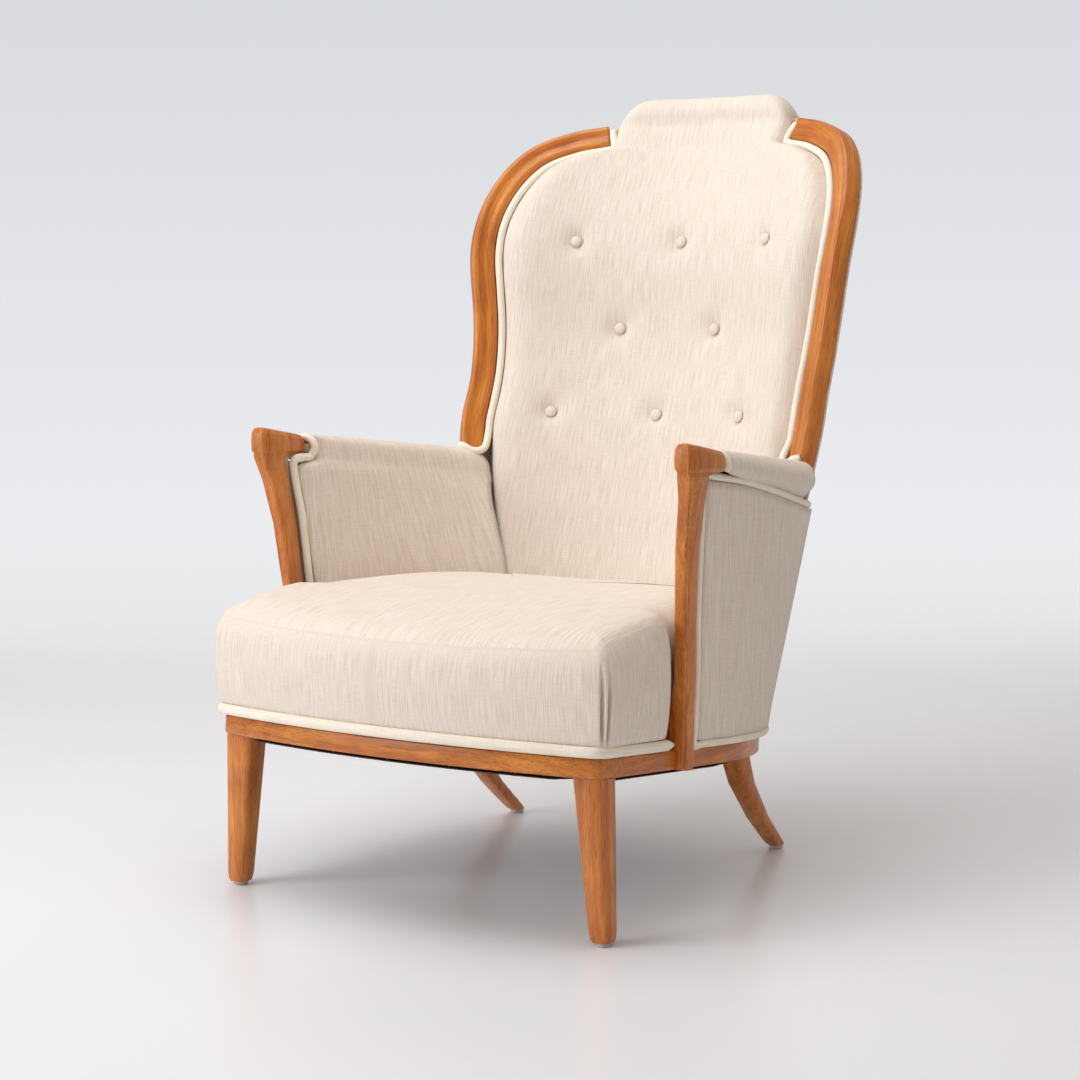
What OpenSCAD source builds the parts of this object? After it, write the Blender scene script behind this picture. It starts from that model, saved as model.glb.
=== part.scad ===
// High-back fireside chair with a bent show-wood bow, carved arm posts and a buttoned back.
// Left and right are the sitter's: the chair faces -Y, its left side is +X, and +Z is up.
// The origin is on the floor, under the middle of the whole chair.

/* [Seat frame] */
// Half the width of the seat frame over the show lip
frame_half_w = 286; // [275:1:298]
// How far the frame's front corners lie in front of the origin
front_corner_y = 379; // [370:1:392]
// Depth of the seat frame from its front corners to the middle of the back rail
frame_depth = 548; // [535:1:560]
// How far the front rail bows forward between its corners
front_bow = 45; // [30:1:55]
// Height of the underside of the front rail at its corners
rail_z = 203; // [190:1:215]
// Angle by which the seat frame falls towards the back
rail_rake = 5.5; // [4:0.5:7]
// Height of a seat rail
rail_h = 62; // [56:1:68]
// Thickness of a seat rail above its show lip
rail_t = 24; // [20:1:28]
// Height of the polished lip that shows below the upholstery
lip_h = 25; // [22:1:28]
// How far the lip stands out beyond the rail above it
lip_t = 12; // [10:1:14]
// Rounding of the frame's front corners
front_corner_r = 15; // [10:1:20]
// Length of the straight part of a side rail
side_straight = 293; // [270:1:310]
// Radius of the rear part of a side rail
side_arc_r = 440; // [420:1:500]
// Rounding of the frame's rear corners
rear_corner_r = 50; // [40:1:60]

/* [Legs] */
// Width of a front leg under the rail
front_leg_w = 42; // [38:1:46]
// Width of a front leg at the foot
front_foot_w = 27; // [24:1:31]
// How far a front foot spreads outward past the leg's top
front_leg_spread = 6; // [0:1:10]
// Width of a rear leg under the rail
rear_leg_w = 32; // [28:1:36]
// Depth of a rear leg under the rail
rear_leg_d = 38; // [34:1:42]
// Width of a rear leg at the foot
rear_foot_w = 22; // [19:1:26]
// How far a rear leg sweeps back
rear_leg_sweep = 142; // [120:1:160]
// Half the distance between the tops of the rear legs
rear_leg_x = 224; // [216:1:230]
// Diameter of a glide under a foot
glide_d = 19; // [16:1:21]
// Height of a glide
glide_h = 5; // [4:0.5:7]

/* [Arm] */
// How far the foot of an arm post lies behind the frame's front corners
post_back = 178; // [168:1:188]
// Height of the top of an arm post above the floor
arm_h = 592; // [575:1:610]
// How far a post stands out beyond the rail at its foot
post_stand = 14; // [12:1:18]
// Thickness of a post from side to side
post_t = 20; // [18:1:24]
// Depth of a post from front to back at its foot
post_d = 23; // [20:1:28]
// How far a post leans outward to its top
post_flare = 41; // [34:1:48]
// How far a post leans forward to its top
post_reach = 58; // [50:1:66]
// Length of the knuckle that crowns a post
knuckle_l = 92; // [84:1:100]
// Height of the knuckle
knuckle_h = 36; // [32:1:40]
// Half the thickness of the upholstered arm roll
roll_r = 29; // [26:1:32]
// How far the arm roll drops to the back
roll_drop = 16; // [8:1:24]

/* [Back] */
// Height of the crest above the floor
total_h = 1052; // [1030:1:1080]
// Radius of the back's barrel curve, seen from above
barrel_r = 460; // [440:1:500]
// How far the back leans from its foot to its crest
back_lean = 283; // [265:1:300]
// Half the width of the back over the middle of the stiles, at its widest
back_half_w = 284; // [276:1:290]
// Width of a stile's show face
stile_w = 36; // [33:1:39]
// Depth of a stile from front to back
stile_d = 34; // [31:1:37]
// Half the width of the raised crest
crest_half_w = 136; // [130:1:142]
// How far the padding stands in front of the stiles at the middle of the back
pad_rise = 12; // [9:1:16]
// How much further it stands out towards the stiles
pad_scoop = 24; // [18:1:30]
// Diameter of a covered button
button_d = 16; // [14:1:18]
// How deep a button draws the padding in
button_pull = 11; // [8:1:13]

/* [Seat] */
// Height of the seat's crown above the floor
seat_h = 389; // [380:1:398]
// How far the seat overhangs the frame at its sides
seat_over = 15; // [12:1:18]
// Rounding of the seat's upper edge
seat_edge_r = 50; // [44:1:56]
// Thickness of the cover cloth with its lining
cloth_t = 2.4; // [2:0.2:3]
// Diameter of the piped welts
welt_d = 11; // [10:0.5:12]
// Height of a coil spring
spring_h = 98; // [90:1:104]
// Diameter of the spring wire
wire_d = 3.8; // [3:0.2:4.4]
// Number of curls in a spring
curls = 3; // [3:1:4]

/* [Hidden] */
// Clearance between a pin and its hole, all round
fit = 0.1;
// Space left between pieces that only lie against each other
gap = 0.3;
// How far a cutting shape runs past what it cuts
over = 1;
// Height from the floor at which the shaped part of the back starts
back_foot_z = 200;

wood = "#c8783a";
beech = "#d9b98a";
linen = "#d8cbb5";
cream = "#f3eadf";
jute = "#b89a63";
steel = "#8f9296";
hair = "#5a4a3c";

function lerp(a, b, t) = a + (b - a) * t;
function clamp(t) = min(1, max(0, t));
function ease(t) = let (u = clamp(t)) u * u * (3 - 2 * u);
function unit(v) = v / norm(v);

// A smooth curve through given values: xs rise, ys are numbers or points.
function span(xs, x, i = 0) = i >= len(xs) - 2 || x < xs[i + 1] ? i : span(xs, x, i + 1);
function tangent(xs, ys, i) =
    let (a = max(0, i - 1), b = min(len(xs) - 1, i + 1))
    (ys[b] - ys[a]) / (xs[b] - xs[a]);
function curve(xs, ys, x) =
    let (i = span(xs, x), w = xs[i + 1] - xs[i], t = (x - xs[i]) / w,
         t2 = t * t, t3 = t2 * t)
    ys[i] * (2 * t3 - 3 * t2 + 1) + tangent(xs, ys, i) * w * (t3 - 2 * t2 + t)
    + ys[i + 1] * (3 * t2 - 2 * t3) + tangent(xs, ys, i + 1) * w * (t3 - t2);
function along(points, k) = curve([for (i = [0:len(points) - 1]) i], points, k);
function smooth(points, steps) =
    [for (k = [0:(len(points) - 1) * steps]) along(points, k / steps)];

// A closed solid through rings of points. Each ring runs anticlockwise seen from the last one.
module loft(rings) {
    n = len(rings[0]);
    m = len(rings);
    low_mid = m * n;
    high_mid = m * n + 1;
    ones = [for (p = rings[0]) 1];
    points = concat([for (r = rings) each r], [ones * rings[0] / n, ones * rings[m - 1] / n]);
    sides = [for (j = [0:m - 2], i = [0:n - 1])
        let (a = j * n + i, b = j * n + (i + 1) % n) each [[a, a + n, b + n], [a, b + n, b]]];
    low = [for (i = [0:n - 1]) [low_mid, i, (i + 1) % n]];
    high = [for (i = [0:n - 1]) [high_mid, (m - 1) * n + (i + 1) % n, (m - 1) * n + i]];
    polyhedron(points, concat(sides, low, high), convexity = 10);
}

// A closed skin between two grids of points with the same rows and columns.
// Seen from the outer grid's side, columns run to the right and rows run up.
module skin(outer, inner) {
    m = len(outer);
    n = len(outer[0]);
    k = m * n;
    points = concat([for (r = outer) each r], [for (r = inner) each r]);
    faces = [for (j = [0:m - 2], i = [0:n - 2])
        let (a = j * n + i, b = a + 1, c = a + n, d = c + 1)
        each [[a, c, d], [a, d, b], [k + a, k + d, k + c], [k + a, k + b, k + d]]];
    ends = [for (i = [0:n - 2])
        let (a = i, b = i + 1, c = (m - 1) * n + i, d = c + 1)
        each [[a, b, k + b], [a, k + b, k + a], [d, c, k + c], [d, k + c, k + d]]];
    flanks = [for (j = [0:m - 2])
        let (a = j * n, c = a + n, b = a + n - 1, d = b + n)
        each [[c, a, k + a], [c, k + a, k + c], [b, d, k + d], [b, k + d, k + b]]];
    polyhedron(points, concat(faces, ends, flanks), convexity = 10);
}

// A cord or bar along a path, with a section given as points across it.
function directions(path) =
    [for (i = [0:len(path) - 1])
        unit(path[min(i + 1, len(path) - 1)] - path[max(i - 1, 0)])];
function square_to(v, t) = unit(v - t * (v * t));
function normals(ts, start) =
    [for (i = 0, v = square_to(start, ts[0]); i < len(ts);
          i = i + 1, v = i < len(ts) ? square_to(v, ts[i]) : v) v];
function round_section(d, n = 8) = [for (i = [0:n - 1]) [cos(i * 360 / n), sin(i * 360 / n)] * d / 2];
module sweep(path, section, start) {
    ts = directions(path);
    ns = normals(ts, start);
    loft([for (i = [0:len(path) - 1])
        [for (p = section) path[i] + ns[i] * p.x + cross(ts[i], ns[i]) * p.y]]);
}

// A level ring with rounded corners: power 2 is an ellipse and higher powers are squarer.
function rounded_ring(centre, w, d, power = 4, n = 20) =
    [for (i = [0:n - 1])
        let (a = 360 * i / n, c = cos(a), s = sin(a))
        [centre.x + sign(c) * pow(abs(c), 2 / power) * w / 2,
         centre.y + sign(s) * pow(abs(s), 2 / power) * d / 2]];

function mirrored(ring) = [for (p = ring) [-p.x, p.y, p.z]];
module on_side(side) {
    if (side > 0) children();
    else mirror([1, 0, 0]) children();
}
module both_sides() {
    children();
    mirror([1, 0, 0]) children();
}

// Seat frame. It is drawn level, with y = 0 at its front corners, and then tilted.
front_y = -front_corner_y;
rail_full = rail_t + lip_t;
arris = 3;
rail_joint = 42;
function rail_at(y, up = 0) = rail_z - (y - front_y) * tan(rail_rake) + up / cos(rail_rake);
function circles_meet(a, ra, b, rb) =
    let (ab = b - a, d = norm(ab), k = (d * d + ra * ra - rb * rb) / (2 * d), u = ab / d)
    a + u * k + [u.y, -u.x] * sqrt(ra * ra - k * k);
front_arc_r = (frame_half_w * frame_half_w + front_bow * front_bow) / (2 * front_bow);
front_arc = [0, front_arc_r - front_bow];
front_corner = [frame_half_w - front_corner_r,
    front_arc.y - sqrt(pow(front_arc_r - front_corner_r, 2) - pow(frame_half_w - front_corner_r, 2))];
front_angle = asin(front_corner.x / (front_arc_r - front_corner_r));
side_arc = [frame_half_w - side_arc_r, side_straight];
rear_arc = [0, frame_depth - barrel_r];
rear_corner = circles_meet(rear_arc, barrel_r - rear_corner_r, side_arc, side_arc_r - rear_corner_r);
side_angle = atan2(rear_corner.y - side_arc.y, rear_corner.x - side_arc.x);
rear_angle = atan2(rear_corner.y - rear_arc.y, rear_corner.x - rear_arc.x);
joint_y = front_corner.y + rail_joint;

module tilted() translate([0, front_y, rail_z]) rotate([-rail_rake, 0, 0]) children();

// The rail's section, with its depth measured inward from the lip's face.
function rail_profile() = concat(
    [[rail_full, 0], [rail_full, rail_h], [lip_t, rail_h], [lip_t, lip_h]],
    [for (a = [90:30:180]) [arris + arris * cos(a), lip_h - arris + arris * sin(a)]],
    [for (a = [180:30:270]) [arris + arris * cos(a), arris + arris * sin(a)]]);
module rail_section(r) polygon([for (p = rail_profile()) [r - p.x, p.y]]);
module rail_arc(centre, r, from, to)
    translate([centre.x, centre.y]) rotate([0, 0, from])
        rotate_extrude(angle = to - from, $fn = 180) intersection() {
            rail_section(r);
            square([r + over, rail_h]);
        }
module rail_straight(from, to)
    translate([0, to]) rotate([90, 0, 0]) linear_extrude(to - from) rail_section(frame_half_w);

// Dowels between the rails, drilled into both end faces.
dowel_d = 8;
dowel_l = 40;
dowel_heights = [rail_h / 4, rail_h * 3 / 4];
module dowel(d, l) translate([0, 0, -l / 2]) cylinder(d = d, h = l, $fn = 24);
rear_dowel_l = 28;
module rail_dowel_set(room = 0) both_sides() for (z = dowel_heights) {
    translate([frame_half_w - lip_t - rail_t / 2, joint_y, z]) rotate([90, 0, 0])
        dowel(dowel_d + 2 * room, dowel_l + 2 * room);
    translate([rear_arc.x, rear_arc.y]) rotate([0, 0, rear_angle])
        translate([barrel_r - lip_t - rail_t / 2, 0, z]) rotate([90, 0, 0])
            dowel(dowel_d + 2 * room, rear_dowel_l + 2 * room);
}

// A screw lies along +Z with its head below the origin. The hole is a little wider.
screw_d = 4;
screw_head_d = 8;
screw_head_t = 3;
module screw(l, room = 0) {
    cylinder(d = screw_d + 2 * room, h = l + room, $fn = 20);
    translate([0, 0, -screw_head_t]) cylinder(d = screw_head_d + 2 * room, h = screw_head_t, $fn = 20);
    if (room > 0) translate([0, 0, -screw_head_t * 5])
        cylinder(d = screw_head_d + 2 * room, h = screw_head_t * 4.5, $fn = 20);
}

// Corner blocks, glued and screwed into the frame's corners.
block_l = 64;
block_h = 44;
block_screw_l = 44;
block_screw_in = 20;
front_inner_r = front_arc_r - rail_full;
side_inner_r = side_arc_r - rail_full;
rear_inner_r = barrel_r - rail_full;
block_x = frame_half_w - rail_full;
function front_inner_y(x) = front_arc.y - sqrt(front_inner_r * front_inner_r - x * x);
function rear_inner_y(x) = rear_arc.y + sqrt(rear_inner_r * rear_inner_r - x * x);
function side_inner_x(y) = y < side_straight ? block_x
    : side_arc.x + sqrt(side_inner_r * side_inner_r - pow(y - side_arc.y, 2));
function corner_inner(a) = rear_corner + (rear_corner_r - rail_full) * [cos(a), sin(a)];
module front_block() translate([-gap, 2 * gap]) polygon([
    [block_x, front_inner_y(block_x)], [block_x, front_inner_y(block_x) + block_l],
    [block_x - block_l, front_inner_y(block_x - block_l)]]);
module rear_block() translate([-gap, -2 * gap]) polygon([
    [side_inner_x(rear_corner.y - block_l), rear_corner.y - block_l], corner_inner(side_angle),
    corner_inner(rear_angle), [rear_corner.x - block_l, rear_inner_y(rear_corner.x - block_l)]]);
module block_screw_set(room = 0) both_sides() translate([0, 0, block_h / 2]) {
    front_screw = block_l * 0.6;
    rear_screw = block_l / 3;
    translate([block_x - block_screw_in, front_inner_y(block_x) + front_screw]) rotate([0, 90, 0])
        screw(block_screw_l - screw_head_t, room);
    translate([block_x - front_screw, front_inner_y(block_x - front_screw) + block_screw_in]) rotate([90, 0, 0])
        screw(block_screw_l - screw_head_t, room);
    translate([side_inner_x(rear_corner.y - rear_screw) - block_screw_in, rear_corner.y - rear_screw])
        rotate([0, 90, 0]) screw(block_screw_l - screw_head_t, room);
    translate([rear_corner.x - rear_screw, rear_inner_y(rear_corner.x - rear_screw) - block_screw_in])
        rotate([-90, 0, 0]) screw(block_screw_l - screw_head_t, room);
}

// Places of the legs, in the frame's plan: the top's middle and the foot's middle.
leg_inset = 1;
front_leg = [frame_half_w - leg_inset - front_leg_w / 2, leg_inset * 2 + front_leg_w / 2];
front_foot = [frame_half_w - leg_inset + front_leg_spread - front_foot_w / 2, front_leg.y];
rear_leg = [rear_leg_x, rear_corner.y + 3 * leg_inset];
rear_foot = [rear_leg_x - rear_leg_w / 4, rear_leg.y + rear_leg_sweep];
bolt_d = 7;
bolt_l = 62;
rear_bolt_in = 10;
module leg_bolt_set(room = 0) both_sides() {
    translate([front_leg.x, front_leg.y, -bolt_l / 2]) cylinder(d = bolt_d + 2 * room, h = bolt_l + room, $fn = 24);
    translate([rear_leg.x - rear_bolt_in, rear_leg.y, -bolt_l / 2])
        cylinder(d = bolt_d + 2 * room, h = bolt_l + room, $fn = 24);
}

// The post's foot is let into the side rail's lip and screwed on from inside.
post_foot_front = front_y + post_back;
post_foot = [frame_half_w - lip_t + gap, post_foot_front];
post_screw_l = rail_t + post_stand;
post_screw_heights = [rail_h * 0.3, rail_h * 0.75];
module post_screw_set(room = 0) both_sides() for (z = post_screw_heights)
    translate([block_x + screw_head_t, post_back + post_d / 2, z]) rotate([0, 90, 0])
        screw(post_screw_l - screw_head_t, room);
// A place on the chair's middle plane, seen in the tilted frame.
function in_frame(y, z) = let (a = y - front_y, b = z - rail_z)
    [a * cos(rail_rake) - b * sin(rail_rake), a * sin(rail_rake) + b * cos(rail_rake)];
module post_housing() {
    low = rail_at(post_foot_front + post_d) - over;
    high = rail_at(post_foot_front, lip_h) + over;
    translate([frame_half_w - lip_t, 0]) rotate([90, 0, 90]) linear_extrude(lip_t + over) polygon([
        in_frame(post_front(low) - gap, low), in_frame(post_rear(low) + gap, low),
        in_frame(post_rear(high) + gap, high), in_frame(post_front(high) - gap, high)]);
}

// Tacks that hold the dust cover to the rails' undersides, at shares of the way round each rail.
tack_d = 1.6;
tack_head_d = 7;
tack_l = 12;
tack_head_t = 1;
web_t = 1.4;
dust_t = 1;
web_low = -gap - web_t;
web_cross = web_low - gap - web_t;
dust_top = web_cross - gap;
tack_in = rail_full / 2;
tack_shares = [0.18, 0.34, 0.5, 0.66, 0.82];
tack_places = concat(
    [for (s = tack_shares) let (a = lerp(-90 - front_angle, -90 + front_angle, s))
        front_arc + (front_arc_r - tack_in) * [cos(a), sin(a)]],
    [for (s = tack_shares) let (a = lerp(rear_angle, 180 - rear_angle, s))
        rear_arc + (barrel_r - tack_in) * [cos(a), sin(a)]],
    [for (k = [-1, 1], s = tack_shares) [k * (frame_half_w - tack_in), lerp(joint_y, side_straight, s)]]);
module tack_set(room = 0) for (p = tack_places) translate([p.x, p.y, dust_top - dust_t - tack_head_t]) {
    if (room == 0) cylinder(d = tack_head_d, h = tack_head_t, $fn = 20);
    cylinder(d = tack_d + 2 * room, h = tack_l + room, $fn = 16);
}

// The front rail is one bent piece that turns both front corners. Each ring takes a place on its outline,
// the way inward and a place on its inner outline.
function front_ring(at, inward, inner) = [for (p = rail_profile())
    p.x == rail_full ? [inner.x, inner.y, p.y] : [at.x + inward.x * p.x, at.y + inward.y * p.x, p.y]];
front_steps = 8;
corner_steps = 4;
inner_corner = [block_x, front_inner_y(block_x)];
inner_angle = asin(block_x / front_inner_r);
front_rings = concat(
    [for (i = [0:front_steps])
        let (a = front_angle * i / front_steps, b = min(a, inner_angle * (1 - 0.04 * (front_steps + 1 - i))))
        front_ring(front_arc + front_arc_r * [sin(a), -cos(a)], [-sin(a), cos(a)],
            front_arc + front_inner_r * [sin(b), -cos(b)])],
    [for (i = [1:corner_steps])
        let (a = lerp(front_angle - 90, 0, i / corner_steps))
        front_ring(front_corner + front_corner_r * [cos(a), sin(a)], [-cos(a), -sin(a)],
            [block_x, lerp(inner_corner.y, joint_y, (i - 1) / (corner_steps + 2))])],
    [front_ring([frame_half_w, joint_y], [-1, 0], [block_x, joint_y])]);
front_last = len(front_rings) - 1;
module front_seat_rail() color(wood) tilted() difference() {
    loft(concat([for (i = [front_last:-1:1]) mirrored(front_rings[i])], front_rings));
    rail_dowel_set(fit);
    block_screw_set(fit);
    leg_bolt_set(fit);
    tack_set(fit);
}
module seat_side_rail(side) color(wood) tilted() on_side(side) difference() {
    union() {
        rail_straight(joint_y, side_straight);
        rail_arc(side_arc, side_arc_r, 0, side_angle);
        rail_arc(rear_corner, rear_corner_r, side_angle, rear_angle);
    }
    post_housing();
    rail_dowel_set(fit);
    block_screw_set(fit);
    post_screw_set(fit);
    tack_set(fit);
}
module left_seat_rail() seat_side_rail(1);
module right_seat_rail() seat_side_rail(-1);
module rear_seat_rail() color(wood) tilted() difference() {
    rail_arc(rear_arc, barrel_r, rear_angle, 180 - rear_angle);
    rail_dowel_set(fit);
    stile_dowel_set(fit);
    block_screw_set(fit);
    tack_set(fit);
}
module corner_blocks() color(beech) tilted() difference() {
    both_sides() linear_extrude(block_h) {
        front_block();
        rear_block();
    }
    block_screw_set(fit);
    leg_bolt_set(fit);
}
module corner_block_screws() color(steel) tilted() block_screw_set();
module rail_dowels() color(beech) tilted() rail_dowel_set();
module leg_bolts() color(steel) tilted() leg_bolt_set();
module post_screws() color(steel) tilted() post_screw_set();
module cover_tacks() color(steel) tilted() tack_set();

// Legs. A share of 0 is the foot and 1 is the top, which is cut to the rail's slope.
leg_rise_shares = [0, 0.02, 0.06, 0.35, 0.7, 1];
leg_bevel_shares = [0.84, 0.95, 1, 1, 1, 1];
leg_power = 4.5;
sabre_power = 1.35;
function leg_y(place) = front_y + place.y * cos(rail_rake);
function leg_ring(top, foot, share, bevel, top_size, foot_size, power) =
    let (size = lerp(foot_size, top_size, share) * bevel,
         at = [lerp(foot.x, top.x, share),
               leg_y(top) + (leg_y(foot) - leg_y(top)) * pow(1 - share, power)])
    [for (p = rounded_ring(at, size.x, size.y, leg_power))
        [p.x, p.y, lerp(glide_h, rail_at(p.y), share)]];
module leg(top, foot, top_size, foot_size, power)
    loft([for (i = [0:len(leg_rise_shares) - 1])
        leg_ring(top, foot, leg_rise_shares[i], leg_bevel_shares[i], top_size, foot_size, power)]);
glide_nail_d = 3;
glide_nail_l = 16;
glide_edge = 1.5;
module at_feet() both_sides() for (foot = [front_foot, rear_foot])
    translate([foot.x, leg_y(foot)]) children();
module glide_nail(room = 0) cylinder(d = glide_nail_d + 2 * room, h = glide_h + glide_nail_l + room, $fn = 16);
module glides() color("#b9b6ad") at_feet() {
    rotate_extrude($fn = 40) polygon([[0, 0], [glide_d / 2 - glide_edge, 0], [glide_d / 2, glide_edge],
        [glide_d / 2, glide_h], [0, glide_h]]);
    glide_nail();
}
module drilled_leg() difference() {
    children();
    tilted() leg_bolt_set(fit);
    at_feet() glide_nail(fit);
}
module front_leg_at(side) color(wood) on_side(side) drilled_leg()
    leg(front_leg, front_foot, [1, 1] * front_leg_w, [1, 1] * front_foot_w, 1);
module rear_leg_at(side) color(wood) on_side(side) drilled_leg()
    leg(rear_leg, rear_foot, [rear_leg_w, rear_leg_d], [1, 1] * rear_foot_w, sabre_power);
module left_front_leg() front_leg_at(1);
module right_front_leg() front_leg_at(-1);
module left_rear_leg() rear_leg_at(1);
module right_rear_leg() rear_leg_at(-1);

// Back. Its faces lie on a barrel that leans back in a slow S, given at shares of its height.
back_rise_shares = [0, 0.211, 0.423, 0.587, 0.739, 0.857, 1];
back_lean_shares = [0, 0.2, 0.395, 0.56, 0.645, 0.79, 1];
back_foot_y = front_y + frame_depth - lip_t - stile_d + 6;
back_rise = total_h - back_foot_z;
function lean(z) = back_foot_y + back_lean
    * curve(back_rise_shares, back_lean_shares, (z - back_foot_z) / back_rise);
function lean_slope(z) = lean(z + 0.5) - lean(z - 0.5);
function sag(x) = barrel_r - sqrt(barrel_r * barrel_r - x * x);
function barrel_normal(x, z) = unit([x / sqrt(barrel_r * barrel_r - x * x), 1, -lean_slope(z)]);
function on_barrel(x, z, depth = 0) = [x, lean(z) - sag(x), z] + barrel_normal(x, z) * depth;

// The stile's middle line: shares of the back's half width and of its height.
stile_out_shares = [0.70, 0.82, 0.925, 0.93, 0.955, 0.995, 0.965, 0.865, 0.71, 0.54];
stile_rise_shares = [0.02, 0.211, 0.4225, 0.528, 0.634, 0.763, 0.845, 0.904, 0.931, 0.9425];
stile_plan = [for (i = [0:len(stile_out_shares) - 1])
    [back_half_w * stile_out_shares[i], back_foot_z + back_rise * stile_rise_shares[i]]];
stile_end = len(stile_plan) - 1;
function stile_at(k) = let (p = along(stile_plan, k)) on_barrel(p.x, p.y);
function stile_dir(k) = unit(stile_at(min(stile_end, k + 0.05)) - stile_at(max(0, k - 0.05)));
function stile_normal(k) = let (p = stile_at(k)) square_to(barrel_normal(p.x, p.z), stile_dir(k));
function stile_out(k) = cross(stile_normal(k), stile_dir(k));
function beside_stile(k, across, depth) = stile_at(k) + stile_out(k) * across + stile_normal(k) * depth;

// The stile's section: a soft ridge and hollow on its face, and a rebate for the cover.
stile_across_shares = [1, 0.96, 0.82, 0.55, 0.1, -0.5, -0.8, -0.97, -1, -0.98, -0.7, 0.7, 0.97];
stile_deep_shares = [0.5, 0.2, 0.06, 0, 0.045, 0.015, 0.05, 0.16, 0.3, 0.9, 1, 1, 0.88];
function stile_ring(k) = [for (i = [len(stile_across_shares) - 1:-1:0])
    let (p = beside_stile(k, stile_across_shares[i] * stile_w / 2, stile_deep_shares[i] * stile_d))
    k > 0 ? p : [p.x, p.y, rail_at(p.y, rail_h)]];
module stile_dowel_set(room = 0) both_sides() {
    foot = stile_at(0) + stile_normal(0) * stile_d / 2;
    translate([foot.x, (foot.y - front_y) / cos(rail_rake) - rail_h * sin(rail_rake), rail_h - dowel_l / 2])
        cylinder(d = dowel_d + 2 * room, h = dowel_l + room, $fn = 24);
}
module back_stile(side) color(wood) on_side(side) difference() {
    loft([for (k = [0:1 / 3:stile_end + 0.01]) stile_ring(min(k, stile_end))]);
    tilted() stile_dowel_set(fit);
    crest_dowel_set(fit);
    lower_rail_dowel_set(fit);
    arm_dowel_set(fit);
}
module left_back_stile() back_stile(1);
module right_back_stile() back_stile(-1);

// Rails across the back. Both are sawn to the barrel and set behind the webbing.
cross_rail_depth = 16.8;
cross_rail_t = 16.8;
round_share = 0.42;
crest_rail_h = 36;
lower_rail_h = 44;
lower_rail_z = 430;
crest_z = total_h - 42;
function cross_ring(x, z, h) = let (d = cross_rail_depth, e = cross_rail_t, r = cross_rail_t * round_share)
    [on_barrel(x, z - h / 2, d), on_barrel(x, z + h / 2 - r, d), on_barrel(x, z + h / 2, d + r),
     on_barrel(x, z + h / 2, d + e - r), on_barrel(x, z + h / 2 - r, d + e), on_barrel(x, z - h / 2, d + e)];

// Rails across the back, held to the stiles with dowels.
module aim(v) rotate([0, acos(v.z / norm(v)), atan2(v.y, v.x)]) children();
function crest_section() =
    let (h = crest_rail_h / 2, d = cross_rail_depth, e = d + cross_rail_t, r = cross_rail_t * round_share)
    [[-h, d], [h - r, d], [h, d + r], [h, e - r], [h - r, e], [-h, e]];
function crest_end() = [for (p = crest_section()) beside_stile(stile_end, p.x, p.y) + stile_dir(stile_end) * gap];
rail_steps = 5;
module crest_rail() color(beech) difference() {
    half = crest_end()[0].x * 0.91;
    loft(concat([crest_end()],
        [for (i = [rail_steps:-1:-rail_steps])
            [for (p = crest_section()) on_barrel(half * i / rail_steps, crest_z, p.y) + [0, 0, p.x]]],
        [mirrored(crest_end())]));
    crest_dowel_set(fit);
}
lower_k = [1.15, 1.28, 1.4];
function lower_end() = let (a = -stile_w / 2 - gap, d = cross_rail_depth, e = d + cross_rail_t)
    [beside_stile(lower_k[0], a, d), beside_stile(lower_k[2], a, d), beside_stile(lower_k[2], a, d + over),
     beside_stile(lower_k[2], a, e - over), beside_stile(lower_k[2], a, e), beside_stile(lower_k[0], a, e)];
module lower_back_rail() color(beech) difference() {
    half = lower_end()[0].x * rail_steps / (rail_steps + 1);
    loft(concat([lower_end()],
        [for (i = [rail_steps:-1:-rail_steps]) cross_ring(half * i / rail_steps, lower_rail_z, lower_rail_h)],
        [mirrored(lower_end())]));
    lower_rail_dowel_set(fit);
}
cross_rail_mid = cross_rail_depth + cross_rail_t / 2;
crest_dowel_out = 8;
module crest_dowel_set(room = 0) both_sides() for (k = [-1, 1])
    translate(beside_stile(stile_end, k * crest_dowel_out, cross_rail_mid)) aim(stile_dir(stile_end))
        dowel(dowel_d + 2 * room, dowel_l + 2 * room);
module lower_rail_dowel_set(room = 0) both_sides() for (k = [-1, 1])
    translate(beside_stile(lower_k[1] + k * (lower_k[1] - lower_k[0]) / 2, -stile_w / 2, cross_rail_mid))
        aim(stile_out(lower_k[1])) dowel(dowel_d + 2 * room, dowel_l + 2 * room);
module back_dowels() color(beech) {
    tilted() stile_dowel_set();
    crest_dowel_set();
    lower_rail_dowel_set();
    arm_dowel_set();
}

// Arm posts. Each is carved from one piece: a curved post that carries a long knuckle.
post_rise_shares = [0, 0.108, 0.158, 0.281, 0.527, 0.675, 0.823, 0.897];
post_out_shares = [0, 0.07, 0.1, 0.2, 0.37, 0.49, 0.76, 0.93];
post_reach_shares = [0, 0.05, 0.08, 0.19, 0.45, 0.57, 0.74, 0.91];
post_thick_shares = [1, 1, 1, 1, 1, 1.05, 1.15, 1.35];
post_lap_shares = [1, 1, 1, 0.1, 0, 0, 0, 0];
post_deep_shares = [1, 1.04, 1.06, 1.17, 1.3, 1.43, 1.65, 2];
knuckle_rise_shares = [0, 0.12, 0.45, 0.78, 0.94, 1];
knuckle_inset_shares = [0.09, 0.015, 0, 0.03, 0.12, 0.28];
knuckle_fall_shares = [0.04, 0.05, 0.09, 0.14, 0.16, 0.17];
knuckle_w = 32;
carved_points = 20;
groove_point = 17;
groove_deep = 1.5;
post_foot_z = rail_at(post_foot_front);
post_rise = arm_h - post_foot_z;
knuckle_low = arm_h - knuckle_h;
knuckle_out = frame_half_w + post_stand + post_flare - over;
knuckle_front = post_foot_front - post_reach;
knuckle_rear = knuckle_front + knuckle_l;
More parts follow.
